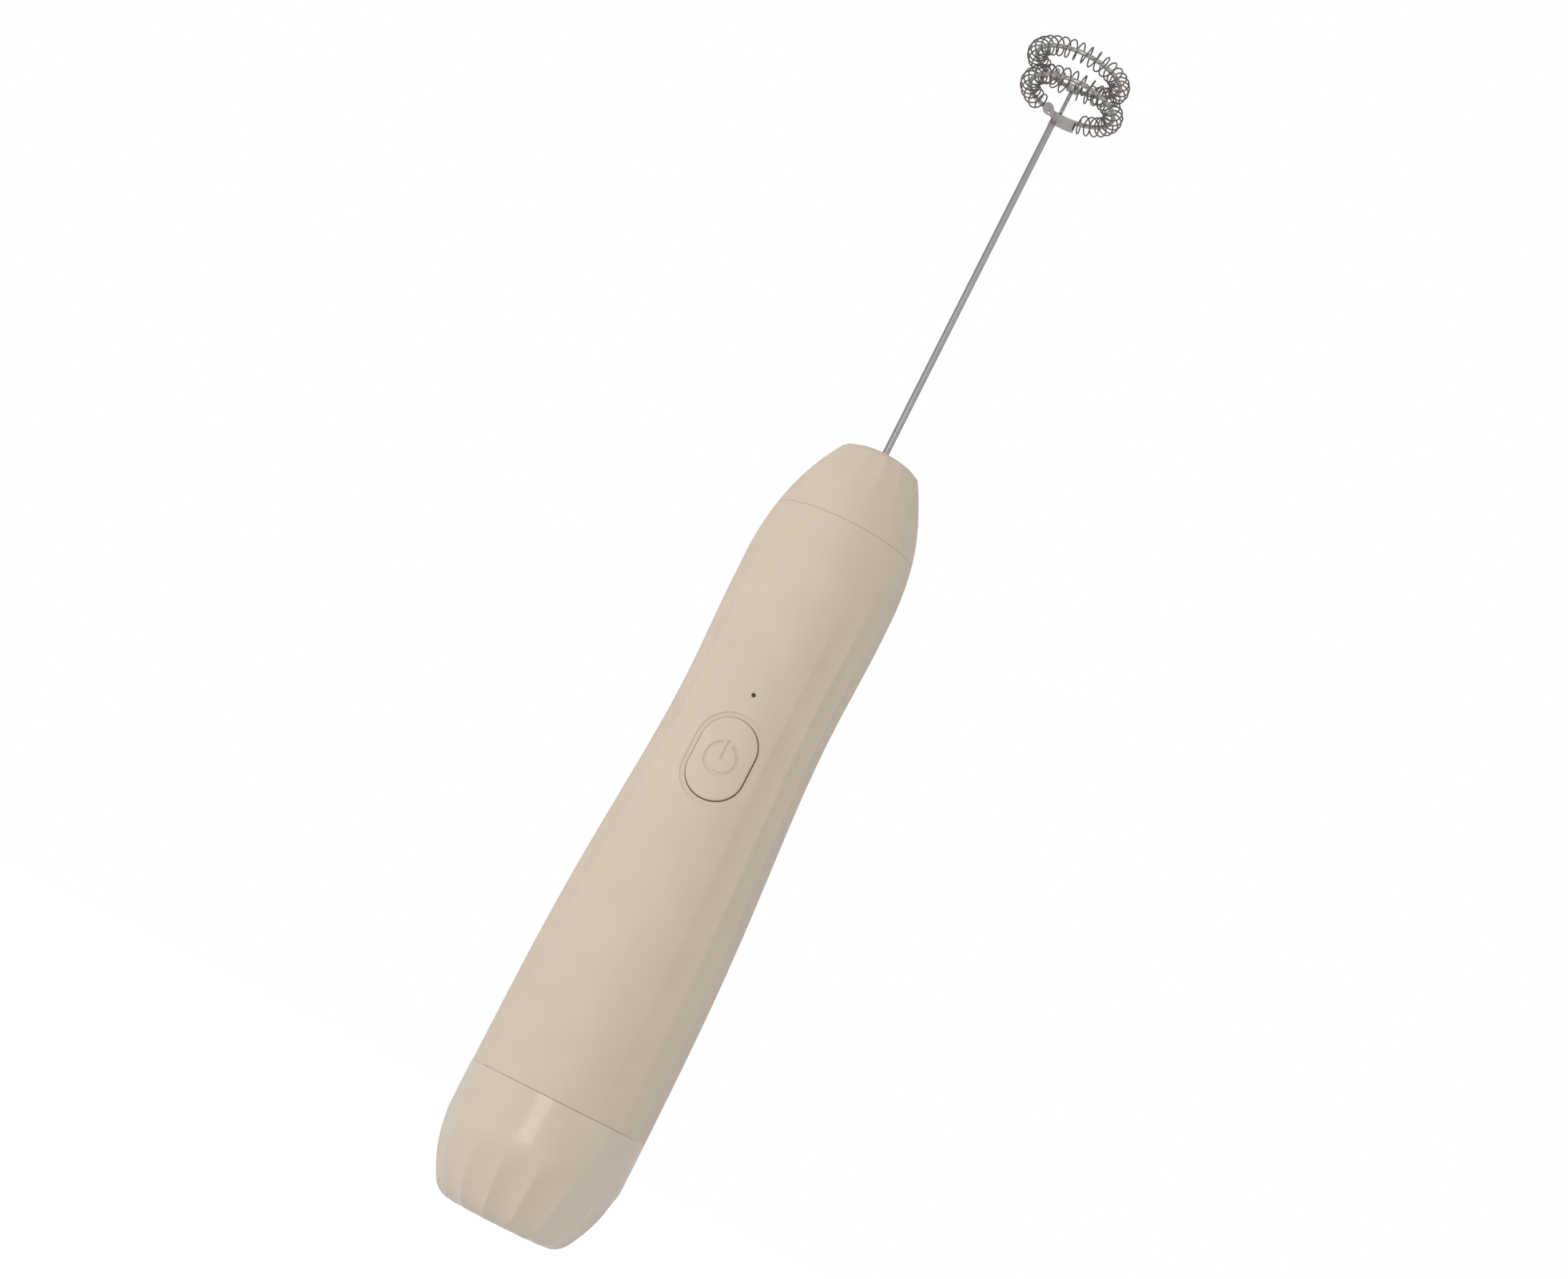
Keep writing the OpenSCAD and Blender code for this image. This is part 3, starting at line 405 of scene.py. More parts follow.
def opening(skin, grid, at, centre, half_w, half_l, steps, radius, bearing=None):
    """Rings from an obround opening out to the edge of its patch. Each step is an offset and a
    depth, and then the rings spread out to the patch. Gives the inmost ring and the bearings."""
    rows, columns = row[at], column[at]
    patch = border(grid[rows[0]:rows[1] + 1, columns[0]:columns[1] + 1])
    edge = np.concatenate(skin.points)[patch]
    if bearing is None:
        bearing = np.arctan2(edge[:, 2] - centre[1], edge[:, 0] - centre[0])
    rings = []
    for offset, depth in steps:
        x, dz = obround(bearing, half_w + offset, half_l + offset)
        rings.append((x + centre[0], dz + centre[1], depth))
    last_x, last_z, depth = rings[-1]
    for share in (0.3, 0.65):
        rings.append((last_x + (edge[:, 0] - last_x) * share,
                      last_z + (edge[:, 2] - last_z) * share, depth))
    laid = []
    for x, z, depth in rings:
        r = radius(z) - depth
        laid.append(np.stack([x, -np.sqrt(r ** 2 - x ** 2), z], -1))
    numbers = skin.add(np.array(laid))
    skin.join(closed(np.concatenate([numbers, patch[None]])))
    return numbers[0], bearing


shell = Skin()
outside = shell.add(polar(body_r(theta, heights[:, None]), theta, heights[:, None]))
inside = shell.add(polar(inner_r(heights[:, None]) + 0 * theta, theta, heights[:, None]))
for grid in (outside, inside):
    shell.join(closed(grid), keep)
for end in (0, -1):
    shell.join(closed(np.stack([outside[end], inside[end]])))

rim_steps = [(0, rim_depth + 0.12), (0.04, rim_depth + 0.03), (0.14, rim_depth),
             (rim_w - 0.12, rim_depth), (rim_w - 0.05, rim_depth * 0.8), (rim_w, rim_depth * 0.35),
             (rim_w + 0.06, rim_depth * 0.06), (rim_w + 0.14, 0)]
lens_steps = [(0, 0.06), (0.05, 0.01), (0.1, 0)]
opening_shift = 0.06
holes = {
    "button": ((opening_shift, button_z - opening_shift),
               button_w / 2 + button_gap, button_l / 2 + button_gap, rim_steps),
    "lens": ((0, lens_z), lens_hole_r, lens_hole_r, lens_steps)}
for at, (centre, half_w, half_l, steps) in holes.items():
    front, bearing = opening(shell, outside, at, centre, half_w, half_l, steps, outer_r)
    back = opening(shell, inside, at, centre, half_w, half_l, [(0, 0)], inner_r, bearing)[0]
    shell.join(closed(np.stack([front, back])))
shell.piece("body_skin", "handle", body_plastic, ["body_shell"])

# ------------------------------------------------------------------ Nose cap
# Separate moulding pressed into the body's mouth, with faint flutes that run up to its domed
# tip. The shaft leaves through a hole in the dome; a bush and a seal sit in the pocket below.
tip_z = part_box("nose_cap")[1].z / mm
spigot_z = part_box("nose_cap")[0].z / mm
spigot_r = motor_bore_r - 0.05
dome_h = 1.35
rim_z = tip_z - dome_h
nose_hole_r = 1.15
pocket_r = 2.65
pocket_z = tip_z - 2.15
boss_r = 4.4
boss_z = tip_z - 6.6
nose_flutes = 16
nose_flute_depth = 0.21
nose_gap = 0.03


def revolve(skin, r, z, theta, cut=None):
    """Closed outline of r and z carried round the axis; cut is how deep it is hollowed."""
    r, z = np.asarray(r, float)[:, None], np.asarray(z, float)[:, None]
    depth = 0 if cut is None else cut(r, z, theta)
    grid = skin.add(polar(r - depth + 0 * theta, theta, z + 0 * theta))
    skin.join(closed(np.concatenate([grid, grid[:1]])))
    return grid


def nose_flute(r, z, theta):
    """Parabolic flutes that start above the seam and die out over the dome."""
    across = np.mod(theta * nose_flutes / 360 + 0.5, 1)
    fade = ramp((z - nose_seam_z - 1) / 13) * ramp((r - 3.2) / 4.2)
    return nose_flute_depth * 4 * across * (1 - across) * fade * (r > inside_r(z) + 0.5)


def inside_r(z):
    """Inside of the nose: a wall's thickness in, above the spigot."""
    return outer_r(z) - shell_wall


nose_foot_z = nose_seam_z + nose_gap
side = np.concatenate([nose_foot_z + edge_rows, np.linspace(nose_seam_z + 0.9, rim_z, 26)])
side_r = outer_r(side) - rounding(side - nose_seam_z - nose_gap, edge_soft)
dome_r = np.linspace(outer_r(rim_z), nose_hole_r + 0.15, 22)[1:]
dome_z = rim_z + dome_h * (1 - (dome_r / outer_r(rim_z)) ** 3.5)
spigot_bore_r = spigot_r - 1.75
pocket_floor_z = tip_z - 2.6
inside_z = np.linspace(tip_z - 4.2, nose_seam_z, 12)
outline_r = np.concatenate([
    [spigot_bore_r, spigot_r - 0.3, spigot_r, spigot_r], side_r, dome_r,
    [nose_hole_r + 0.04, nose_hole_r, nose_hole_r, pocket_r, pocket_r, boss_r, boss_r, 6.0],
    np.minimum(inside_r(inside_z), spigot_bore_r)])
outline_z = np.concatenate([
    [spigot_z, spigot_z, spigot_z + 0.3, nose_foot_z], side, dome_z,
    [tip_z - 0.03, tip_z - 0.15, pocket_z, pocket_z, boss_z, boss_z,
     pocket_floor_z, pocket_floor_z], inside_z])
nose = Skin()
revolve(nose, outline_r, outline_z, np.arange(0, 360, 360 / (nose_flutes * 12)), nose_flute)
nose.piece("nose_skin", "handle", body_plastic, ["nose_cap"])

# ------------------------------------------------------------------ End cap
# Pull-off cap, moulded glossier than the body. Its band is straight and plain, and below it
# the cap bows in to a flat foot and is cut into sixteen hollow facets. A low lip round its
# mouth closes the view through the seam.
cap_lo, cap_hi = (np.array(corner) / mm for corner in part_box("bottom_cap"))
cap_r0 = (cap_hi[0] - cap_lo[0]) / 2
cap_top = cap_hi[2]
crown_z = 15.5
cap_taper = 5.25
cap_wall = 1.8
cap_bore_r = heel_r - 1.85
cap_floor_z = 2.4
foot_round = 2.2
lip_h = 0.08
lip_set = 0.13
facets = 16
facet_turn = -8
facet_depth = 0.78
cap_plastic = moulded_plastic("cap_plastic", body_colour, 0.42, 0.24, 0.0010, coat=0.7)


def cap_r(z):
    """End cap's radius at a height: straight above its crown, and below it a power curve in."""
    below = np.clip((crown_z - z) / crown_z, 0, None)
    return cap_r0 - cap_taper * below ** 2


def facet(r, z, theta):
    """Hollow facets, from nothing just under the crown to full depth, out to the foot's edge."""
    across = np.mod((theta - facet_turn) * facets / 360, 1)
    fade = ramp((crown_z - 0.8 - z) / 7.0) * ramp((r - 7.4) / 2.4)
    outside = (r > cap_r(z) - 1.2) | (z < foot_round + 0.1)
    return facet_depth * 4 * across * (1 - across) * fade * outside


turn = np.radians(np.linspace(0, 90, 13))
skin_z = np.concatenate([np.linspace(foot_round, crown_z, 28)[1:],
                         np.linspace(crown_z + 0.8, cap_top - 0.8, 10),
                         (cap_top - edge_rows)[::-1]])
hollow_z = np.linspace(crown_z, cap_floor_z, 10)
foot_z = foot_round * (1 - np.cos(turn))
foot_r = cap_r(foot_z) - foot_round * (1 - np.sin(turn))
cap = Skin()
cap_outline_r = np.concatenate([
    np.linspace(1.5, foot_r[0] - 0.6, 8), foot_r,
    cap_r(skin_z) - rounding(cap_top - skin_z, edge_soft),
    [cap_r0 - lip_set, cap_bore_r + 0.15, cap_bore_r], cap_r(hollow_z) - cap_wall, [1.5]])
cap_outline_z = np.concatenate([
    np.zeros(8), foot_z, skin_z,
    [cap_top + lip_h, cap_top + lip_h, cap_top - 0.15], hollow_z, [cap_floor_z]])
cap_theta = facet_turn + np.arange(0, 360, 360 / (facets * 12))
r, z = cap_outline_r[:, None], cap_outline_z[:, None]
grid = cap.add(polar(r - facet(r, z, cap_theta), cap_theta, z + 0 * cap_theta))
cap.join(closed(grid))
cap.cap(grid[0], (0, 0, 0))
cap.cap(grid[-1], (0, 0, cap_floor_z))
cap.piece("cap_skin", "end_cap", cap_plastic, ["bottom_cap"])

# ------------------------------------------------------------------ Button
# Obround push button that follows the curve of the panel and stands a hair proud of it, with
# a shallow sunk power sign. A flange behind it keeps it in the shell.
proud = 0.1
flange_back = -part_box("button")[1].y / mm
flange_front = flange_back + 0.8
flange_lip = 1.0
sign_w = 6.5
sign_stroke = 0.63
sign_r = sign_w / 2 - sign_stroke / 2
sign_gap = 1.0
sign_depth = 0.26
sign_edge = 0.15
button_plastic = moulded_plastic("button_plastic", body_colour, 0.50, 0.26, 0.003)


def sign(x, z):
    """Depth of the power sign: a ring open at its top, and a bar from its middle up through it."""
    def stroke(distance):
        return 1 - ramp((distance + sign_edge) / (2 * sign_edge))
    ring_off = np.abs(np.hypot(x, z) - sign_r) - sign_stroke / 2
    open_top = np.where(z > 0, sign_gap - np.abs(x), -1)
    bar_end = np.maximum(-z - 0.1, z - sign_r - sign_stroke)
    bar_off = np.maximum(np.abs(x) - sign_stroke / 2, bar_end)
    return sign_depth * np.maximum(stroke(np.maximum(ring_off, open_top)), stroke(bar_off))


button_sides = 288
bearing = np.linspace(0, 2 * np.pi, button_sides, endpoint=False)
edge_x, edge_z = obround(bearing, button_w / 2, button_l / 2)
sign_ring = np.linspace(0.06, 3.9, 60)
inner_x = sign_ring[:, None] * np.cos(bearing)
inner_z = sign_ring[:, None] * np.sin(bearing)
edge_round = 0.28
outward = np.concatenate([np.linspace(0.15, 0.85, 6), [1]])[:, None]
flat_x, flat_z = obround(bearing, button_w / 2 - edge_round, button_l / 2 - edge_round)
spread_x = inner_x[-1] + (flat_x - inner_x[-1]) * outward
spread_z = inner_z[-1] + (flat_z - inner_z[-1]) * outward
turn = np.radians(np.linspace(15, 90, 6))[:, None]
over_x, over_z = (np.array(part) for part in zip(*[
    obround(bearing, button_w / 2 - edge_round * (1 - s), button_l / 2 - edge_round * (1 - s))
    for s in np.sin(turn[:, 0])]))
face_x = np.concatenate([inner_x, spread_x, over_x])
face_z = np.concatenate([inner_z, spread_z, over_z])
drop = np.concatenate([np.zeros(len(inner_x) + len(spread_x)),
                       edge_round * (1 - np.cos(turn[:, 0]))])
face_r = outer_r(face_z + button_z) + proud - drop[:, None] - sign(face_x, face_z)
face_y = -np.sqrt(face_r ** 2 - face_x ** 2)
lip_x, lip_z = obround(bearing, button_w / 2 + flange_lip, button_l / 2 + flange_lip)
button = Skin()
grid = button.add(np.stack([face_x, face_y, face_z + button_z], -1))
button.join(closed(grid))
button.cap(grid[0], (0, -(outer_r(button_z) + proud - sign(0, 0)), button_z))
behind = button.add(np.stack([
    np.stack([x, np.full(button_sides, -y), z + button_z], -1)
    for x, z, y in [(edge_x, edge_z, flange_front), (lip_x, lip_z, flange_front),
                    (lip_x, lip_z, flange_back)]]))
button.join(closed(np.concatenate([grid[-1:], behind])))
button.cap(behind[-1], (0, -flange_back, button_z))
button.piece("button_skin", "button", button_plastic, ["button"])

# ------------------------------------------------------------------ Indicator
# Smoked light pipe behind a pinhole over the button: a stem up to the shell and a tip that
# ends flush in the hole with a slightly crowned face.
pipe_r = 1.1
tip_r = 0.375
pipe_lo, pipe_hi = (np.array(corner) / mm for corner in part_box("indicator_lens"))
smoked = Finish("smoked_lens", 0.12)
smoked.colours(smoked.noise(0.5), (0.012, 0.011, 0.011), (0.02, 0.018, 0.018))
smoked.relief(smoked.noise(0.4), 0.002)
around = np.radians(np.arange(0, 360, 10))
pipe_y = outer_r(lens_z) - shell_wall - 0.3
tip_y = -pipe_lo[1]
pipe_rows = [(pipe_r, -pipe_hi[1]), (pipe_r, pipe_y - 0.1), (pipe_r - 0.1, pipe_y),
             (tip_r, pipe_y), (tip_r, tip_y - 0.12), (tip_r - 0.04, tip_y - 0.04),
             (tip_r * 0.6, tip_y)]
lens = Skin()
grid = lens.add(np.stack([
    np.stack([r * np.cos(around), np.full(len(around), -y), lens_z + r * np.sin(around)], -1)
    for r, y in pipe_rows]))
lens.join(closed(grid))
lens.cap(grid[0], (0, pipe_hi[1], lens_z))
lens.cap(grid[-1], (0, -tip_y - 0.01, lens_z))
lens.piece("lens_skin", "handle", smoked.material, ["indicator_lens"])

# ------------------------------------------------------------------ Whisk shaft
# One drawn steel wire: a straight shaft out of the coupling, bent over near its end and
# climbing across to the lower ring, where it is welded under the clip.
whisk_turn = 7
lower_lo, lower_hi = (np.array(corner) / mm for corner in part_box("lower_ring_wire"))
upper_lo, upper_hi = (np.array(corner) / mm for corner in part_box("upper_ring_wire"))
shaft_lo, shaft_hi = (np.array(corner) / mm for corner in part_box("whisk_shaft"))
shaft_r = 1.3 / 2
wire_r = (upper_hi[2] - upper_lo[2]) / 2
ring_r = 8.85
lower_centre = (lower_lo + lower_hi) / 2
upper_centre = (upper_lo + upper_hi) / 2
bend_r = 1.7
arm_climb = 2.3
arm_angle = math.atan2(arm_climb, ring_r)
arm_end_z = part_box("whisk_arm")[1].z / mm - shaft_r * math.cos(arm_angle)
bend_z = shaft_hi[2]


def turned(points, degrees):
    """Points turned about the vertical axis, from +X towards +Y."""
    a = math.radians(degrees)
    spin = np.array([[math.cos(a), -math.sin(a), 0], [math.sin(a), math.cos(a), 0], [0, 0, 1]])
    return points @ spin.T


def wire(skin, path, sideways, radius, sides, closed_path=False):
    """Round wire along a path: circles square to it, started from a direction at each point.
    Open ends are finished with two smaller rings and a middle point."""
    if closed_path:
        ahead = np.roll(path, -1, 0) - np.roll(path, 1, 0)
    else:
        ahead = np.gradient(path, axis=0)
    ahead = ahead / np.linalg.norm(ahead, axis=1)[:, None]
    first = sideways - ahead * (sideways * ahead).sum(1)[:, None]
    first = first / np.linalg.norm(first, axis=1)[:, None]
    second = np.cross(ahead, first)
    a = np.linspace(0, 2 * np.pi, sides, endpoint=False)[:, None]
    radius = np.broadcast_to(radius, len(path))
    rings = (path[:, None] + radius[:, None, None]
             * (first[:, None] * np.cos(a) + second[:, None] * np.sin(a)))
    if closed_path:
        grid = skin.add(rings)
        skin.join(closed(np.concatenate([grid, grid[:1]])))
        return
    end = [path[i] + (rings[i] - path[i]) * 0.8 + ahead[i] * radius[i] * 0.2 * sign_of
           for i, sign_of in ((0, -1), (-1, 1))]
    grid = skin.add(np.concatenate([end[0][None], rings, end[1][None]]))
    skin.join(closed(grid))
    skin.cap(grid[0], path[0] - ahead[0] * radius[0] * 0.2)
    skin.cap(grid[-1], path[-1] + ahead[-1] * radius[-1] * 0.2)


def drawn_steel(name, dark, light, roughness, streak, depth):
    """Bare steel with soft marks along Z, and gloss and tint that vary with them."""
    finish = Finish(name, roughness, metallic=1.0)
    marks = finish.noise(0.5, detail=1, stretch=(1, 1, streak))
    finish.colours(marks, dark, light, 0.25, 0.75)
    patches = finish.noise(3, detail=3)
    finish.link(finish.between(patches, roughness - 0.05, roughness + 0.08),
                finish.shader.inputs["Roughness"])
    finish.relief(marks, depth)
    return finish.material


shaft_steel = drawn_steel("shaft_steel", (0.36, 0.335, 0.33), (0.42, 0.40, 0.39), 0.30, 200,
                          0.0008)
bend = np.linspace(0, math.pi / 2 - arm_angle, 20)
straight_z = np.linspace(shaft_lo[2] + 0.2 * shaft_r, bend_z, 40)[:-1]
bend_path = np.stack([0 * bend, bend_r * (1 - np.cos(bend)), bend_z + bend_r * np.sin(bend)], 1)
arm_share = np.linspace(0, 1, 8)[1:, None]
arm_end = np.array([0, ring_r, arm_end_z])
shaft_path = np.concatenate([
    np.stack([0 * straight_z, 0 * straight_z, straight_z], 1), bend_path,
    bend_path[-1] + (arm_end - bend_path[-1]) * arm_share])
rod = Skin()
across_shaft = turned(np.tile([1.0, 0, 0], (len(shaft_path), 1)), whisk_turn)
wire(rod, turned(shaft_path, whisk_turn), across_shaft, shaft_r, 24)
rod.piece("whisk_rod", "whisk", shaft_steel, ["whisk_shaft", "whisk_arm"])

# ------------------------------------------------------------------ Ring clip
# Plated sheet folded up into a channel round the lower ring's wire and spot-welded to the
# shaft's end. Its inner wall runs on into a round lug with a hole.
clip_half = wire_r + 0.05
clip_t = 0.35
clip_h = 2.0
clip_drop = 1.9
clip_arc = math.degrees(4.7 / ring_r)
clip_middle = 90 - 3.5
ring_tilt = math.radians(2)
lug_r = 1.25
lug_reach = 1.4
lug_z = -0.3
lug_arc = math.degrees((1 + lug_reach) * lug_r / ring_r)
lug_hole_r = 0.4
sheet_steel = drawn_steel("sheet_steel", (0.50, 0.48, 0.445), (0.56, 0.535, 0.50), 0.42, 1, 0.0008)


def leant(points):
    """Directions in the lower ring's own plane, which leans down at its far side, made upright."""
    c, s = math.cos(ring_tilt), math.sin(ring_tilt)
    return turned(points @ np.array([[1, 0, 0], [0, c, -s], [0, s, c]]), whisk_turn)


def at_lower_ring(points):
    """From the lower ring's own frame, millimetres from its centre, to the whisk's place."""
    return leant(points) + lower_centre


outer_w = clip_half + clip_t
e = 0.08
channel = np.array([
    [-outer_w, e], [-outer_w + e, 0], [0, 0], [outer_w - e, 0], [outer_w, e],
    [outer_w, clip_h - e], [outer_w - e, clip_h], [clip_half + e, clip_h],
    [clip_half, clip_h - e], [clip_half, clip_t + e], [clip_half - e, clip_t], [0, clip_t],
    [-clip_half + e, clip_t], [-clip_half, clip_t + e], [-clip_half, clip_h - e],
    [-clip_half - e, clip_h], [-outer_w + e, clip_h], [-outer_w, clip_h - e]])
clip_end = clip_middle + clip_arc / 2
arc = np.radians(np.linspace(clip_middle - clip_arc / 2, clip_end, 17))[:, None]
reach = ring_r + channel[:, 0]
sheet = np.stack([reach * np.cos(arc), reach * np.sin(arc),
                  np.broadcast_to(channel[:, 1] - clip_drop, (len(arc), len(channel)))], -1)
clip = Skin()
grid = clip.add(at_lower_ring(sheet))
clip.join(closed(grid))
left = (1, 0, 17, 16, 15, 14, 13, 12)
right = (3, 4, 5, 6, 7, 8, 9, 10)
for end in (0, -1):
    for wall in (left, right):
        for corners in ((0, 1, 6, 7), (1, 2, 5, 6), (2, 3, 4, 5)):
            clip.faces.append([grid[end][wall[i]] for i in corners])
    for wall in (left, right):
        clip.faces.append([grid[end][i] for i in (wall[0], wall[7], 11, 2)])
clip.piece("clip_sheet", "whisk", sheet_steel, ["ring_clip"], 35)

lug_turn = 0.6 * lug_arc
bearing = np.radians(np.arange(0, 360, 7.5))
hole_y, hole_z = lug_r, -lug_r * 0.4
centre_y = lug_reach * lug_r
c, s = np.cos(bearing), np.sin(bearing)
neck_end = centre_y / np.maximum(-c, 1e-6)
neck_side = np.where(s > 0, 0.3, 0.9) * lug_r / np.maximum(np.abs(s), 1e-6)
edge_off = np.where(c < 0, np.maximum(np.minimum(neck_end, neck_side), lug_r), lug_r)
disc_y = np.maximum(centre_y + edge_off * c, 0.02)
disc_z = edge_off * s
lug_rings = [(0, 0.06, 1.0), (0, 0.0, 0.955), (0, 0.0, 0.5), (1, 0.0, 1.15), (1, 0.05, 1.0),
             (1, clip_t - 0.05, 1.0), (1, clip_t, 1.15), (0, clip_t, 0.5), (0, clip_t, 0.955),
             (0, clip_t - 0.06, 1.0)]
laid = []
for on_hole, x, scale in lug_rings:
    if on_hole:
        y = hole_y + lug_hole_r * scale * np.cos(bearing)
        z = hole_z + lug_hole_r * scale * np.sin(bearing)
    else:
        y = hole_y + (disc_y - hole_y) * scale
        z = hole_z + (disc_z - hole_z) * scale
    laid.append(np.stack([np.full(len(bearing), x), y, z], -1))
lug_at = np.array([ring_r - outer_w, 0, lug_z])
lug = Skin()
grid = lug.add(at_lower_ring(turned(turned(np.array(laid), lug_turn) + lug_at, clip_end)))
lug.join(closed(np.concatenate([grid, grid[:1]])))
lug.piece("lug_plate", "whisk", sheet_steel, ["clip_lug"], 35)

# ------------------------------------------------------------------ Ring wires, post and ferrule
# Each ring is a wire bent to a circle and butted. A post stands on the lower one where the
# two cross, and a crimped ferrule joins it to the upper one over its butt joint.
ring_steel = drawn_steel("ring_steel", (0.42, 0.39, 0.36), (0.56, 0.53, 0.50), 0.26, 1, 0.002)
sweep_round = np.radians(np.arange(0, 360, 2.5))
outwards = np.stack([np.cos(sweep_round), np.sin(sweep_round), 0 * sweep_round], 1)
for name, path, out in (("lower_ring_wire", at_lower_ring(outwards * ring_r), leant(outwards)),
                        ("upper_ring_wire", outwards * ring_r + upper_centre, outwards)):
    hoop = Skin()
    wire(hoop, path, out, wire_r, 14, closed_path=True)
    hoop.piece(name + "_drawn", "whisk", ring_steel, [name])

post_lo, post_hi = (np.array(corner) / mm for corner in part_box("link_post"))
post_r = 0.4
post_z = np.linspace(post_lo[2] + 0.1, post_hi[2] - 0.1, 9)
post_xy = (post_lo + post_hi)[:2] / 2
post_path = np.stack([0 * post_z + post_xy[0], 0 * post_z + post_xy[1], post_z], 1)
post = Skin()
wire(post, post_path, np.tile([1.0, 0, 0], (len(post_z), 1)), post_r, 18)
post.piece("post_wire", "whisk", ring_steel, ["link_post"])

ferrule_r = wire_r + 0.5
ferrule_arc = math.degrees(2.2 / ring_r)
post_angle = math.degrees(math.atan2(post_xy[1], post_xy[0]))
crimp_share = np.linspace(-1, 1, 25)
crimp_r = ferrule_r * (1 - 0.10 * ramp(1 - np.abs(np.abs(crimp_share) - 0.5) / 0.22)
                       - 0.12 * ramp((np.abs(crimp_share) - 0.88) / 0.12))
section = np.radians(np.arange(0, 360, 15))
crimp_a = np.radians(post_angle + crimp_share * ferrule_arc / 2)[:, None]


def sleeve(radius):
    """Grid of points of a sleeve of that radius round the ring's wire."""
    r = ring_r + radius[:, None] * np.cos(section)
    z = radius[:, None] * np.sin(section)
    return np.stack([r * np.cos(crimp_a), r * np.sin(crimp_a), z], -1)


ferrule = Skin()
grid = ferrule.add(np.concatenate([
    sleeve(crimp_r), sleeve(0 * crimp_r + wire_r + 0.05)[::-1]]) + upper_centre)
ferrule.join(closed(np.concatenate([grid, grid[:1]])))
ferrule.piece("ferrule_crimp", "whisk", ring_steel, ["upper_ferrule"])

# ------------------------------------------------------------------ Coils
# Thin spring wire wound as an open coil and threaded over each ring, so that it circles the
# ring's wire while it runs round the whisk.
# Painted shade: the coils' steel gets a dark brown base colour, far darker than the rings' same
# steel, standing in for the shade inside the close-wound coils.
coil_steel = drawn_steel("coil_steel", (0.13, 0.10, 0.09), (0.26, 0.215, 0.195), 0.34, 1, 0.001)
coil_turns = 32
coil_wire_r = 0.15
coil_path_r = 1.85
coil_gap = 2
turn_steps = 18


def coil(a0, a1):
    """Helix of equal turns whose middle line is the ring: path and outward directions."""
    a = np.radians(np.linspace(a0, a1, int((a1 - a0) / 360 * coil_turns * turn_steps)))
    b = a * coil_turns
    out = np.stack([np.cos(b) * np.cos(a), np.cos(b) * np.sin(a), np.sin(b)], 1)
    path = ring_r * np.stack([np.cos(a), np.sin(a), 0 * a], 1) + coil_path_r * out
    return path, out


lower_start = clip_end + lug_arc + coil_gap
lower_end = clip_middle + 360 - clip_arc / 2 - coil_gap
half_gap = ferrule_arc / 2 + coil_gap
upper_middle = post_angle - whisk_turn
lower_path, lower_out = coil(lower_start, lower_end)
upper_path, upper_out = coil(upper_middle + half_gap, upper_middle + 360 - half_gap)
for name, path, out in (
        ("lower_coil", at_lower_ring(lower_path), leant(lower_out)),
        ("upper_coil", turned(upper_path, whisk_turn) + upper_centre,
         turned(upper_out, whisk_turn))):
    spring = Skin()
    wire(spring, path, out, coil_wire_r, 8)
    spring.piece(name + "_spring", "whisk", coil_steel, [name])

# ------------------------------------------------------------------ Inner parts
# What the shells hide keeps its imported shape. Each takes the finish that its real piece has:
# plain mouldings, rubber, plated and turned metal, boards, cell sleeve and leads.


def rubber_like(name, colour, roughness):
    """Soft moulding: dull, slightly dusty, with a fine even grain."""
    finish = Finish(name, roughness)
    tone = np.array(colour)
    finish.colours(finish.noise(1.6, detail=4), tuple(tone * 0.85), tuple(tone * 1.12))
    finish.relief(finish.noise(0.2), 0.004)
    return finish.material


def turned_metal(name, colour, roughness):
    """Machined metal: fine rings across the axis, with tint and gloss that follow them."""
    finish = Finish(name, roughness, metallic=1.0)
    rings = finish.noise(0.15, detail=2, stretch=(40, 40, 1))
    tone = np.array(colour)
    finish.colours(rings, tuple(tone * 0.86), tuple(np.minimum(tone * 1.08, 1)))
    finish.link(finish.between(finish.noise(2), roughness - 0.05, roughness + 0.08),
                finish.shader.inputs["Roughness"])
    finish.relief(rings, 0.003)
    return finish.material


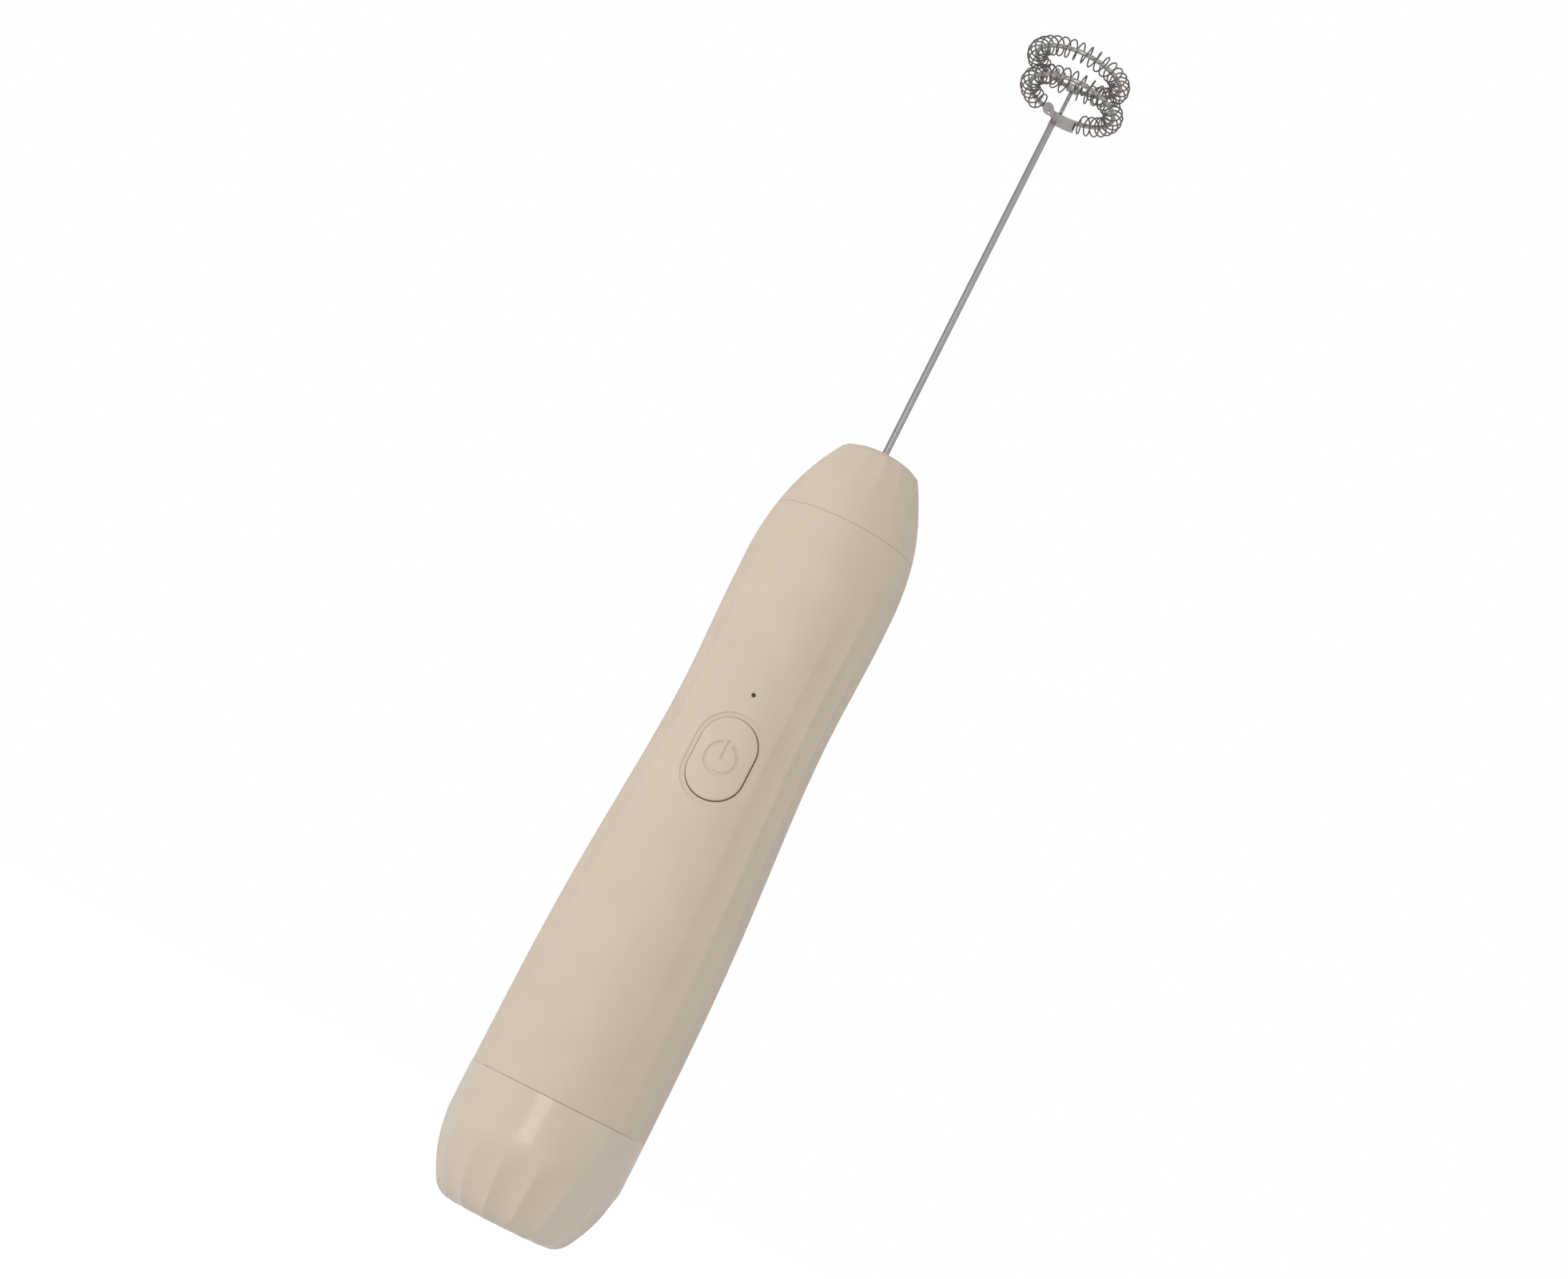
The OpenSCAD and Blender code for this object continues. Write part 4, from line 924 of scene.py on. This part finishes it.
def printed_board(name, colour):
    """Solder resist over glass cloth: a faint weave showing through a glossy coat."""
    finish = Finish(name, 0.32)
    weave = finish.tree.nodes.new("ShaderNodeTexWave")
    weave.inputs["Scale"].default_value = 900
    finish.link(finish.places, weave.inputs["Vector"])
    tone = np.array(colour)
    finish.colours(weave.outputs["Fac"], tuple(tone * 0.8), tuple(tone * 1.15), 0, 1)
    finish.relief(weave.outputs["Fac"], 0.004)
    finish.shader.inputs["Coat Weight"].default_value = 0.5
    return finish.material


inner_finishes = {
    "inner_plastic": moulded_plastic("inner_plastic", (0.70, 0.68, 0.63), 0.5, 0.35, 0.005),
    "dark_plastic": moulded_plastic("dark_plastic", (0.03, 0.03, 0.034), 0.48, 0.3, 0.005),
    "rubber": rubber_like("rubber", (0.028, 0.028, 0.028), 0.72),
    "silicone": rubber_like("silicone", (0.60, 0.54, 0.46), 0.55),
    "screw_steel": turned_metal("screw_steel", (0.52, 0.52, 0.50), 0.30),
    "sheet_steel": sheet_steel,
    "shaft_steel": shaft_steel,
    "magnet": rubber_like("magnet", (0.11, 0.11, 0.12), 0.45),
    "brass": turned_metal("brass", (0.72, 0.54, 0.25), 0.26),
    "copper": turned_metal("copper", (0.70, 0.34, 0.18), 0.34),
    "circuit_board": printed_board("circuit_board", (0.03, 0.17, 0.08)),
    "cell_sleeve": moulded_plastic("cell_sleeve", (0.07, 0.18, 0.40), 0.30, 0.8, 0.003, coat=0.4),
    "led": moulded_plastic("led", (0.80, 0.79, 0.70), 0.25, 0.5, 0.002),
    "lead_red": moulded_plastic("lead_red", (0.50, 0.03, 0.025), 0.38, 0.6, 0.004),
    "lead_black": moulded_plastic("lead_black", (0.02, 0.02, 0.02), 0.38, 0.6, 0.004),
}
for name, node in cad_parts.items():
    if node.hide_render:
        continue
    for place in node.material_slots:
        packed = place.material.name.split(".")[0]
        place.material = inner_finishes.get(packed, inner_finishes["inner_plastic"])
        if packed not in inner_finishes:
            print("no finish named", packed, "for", name)
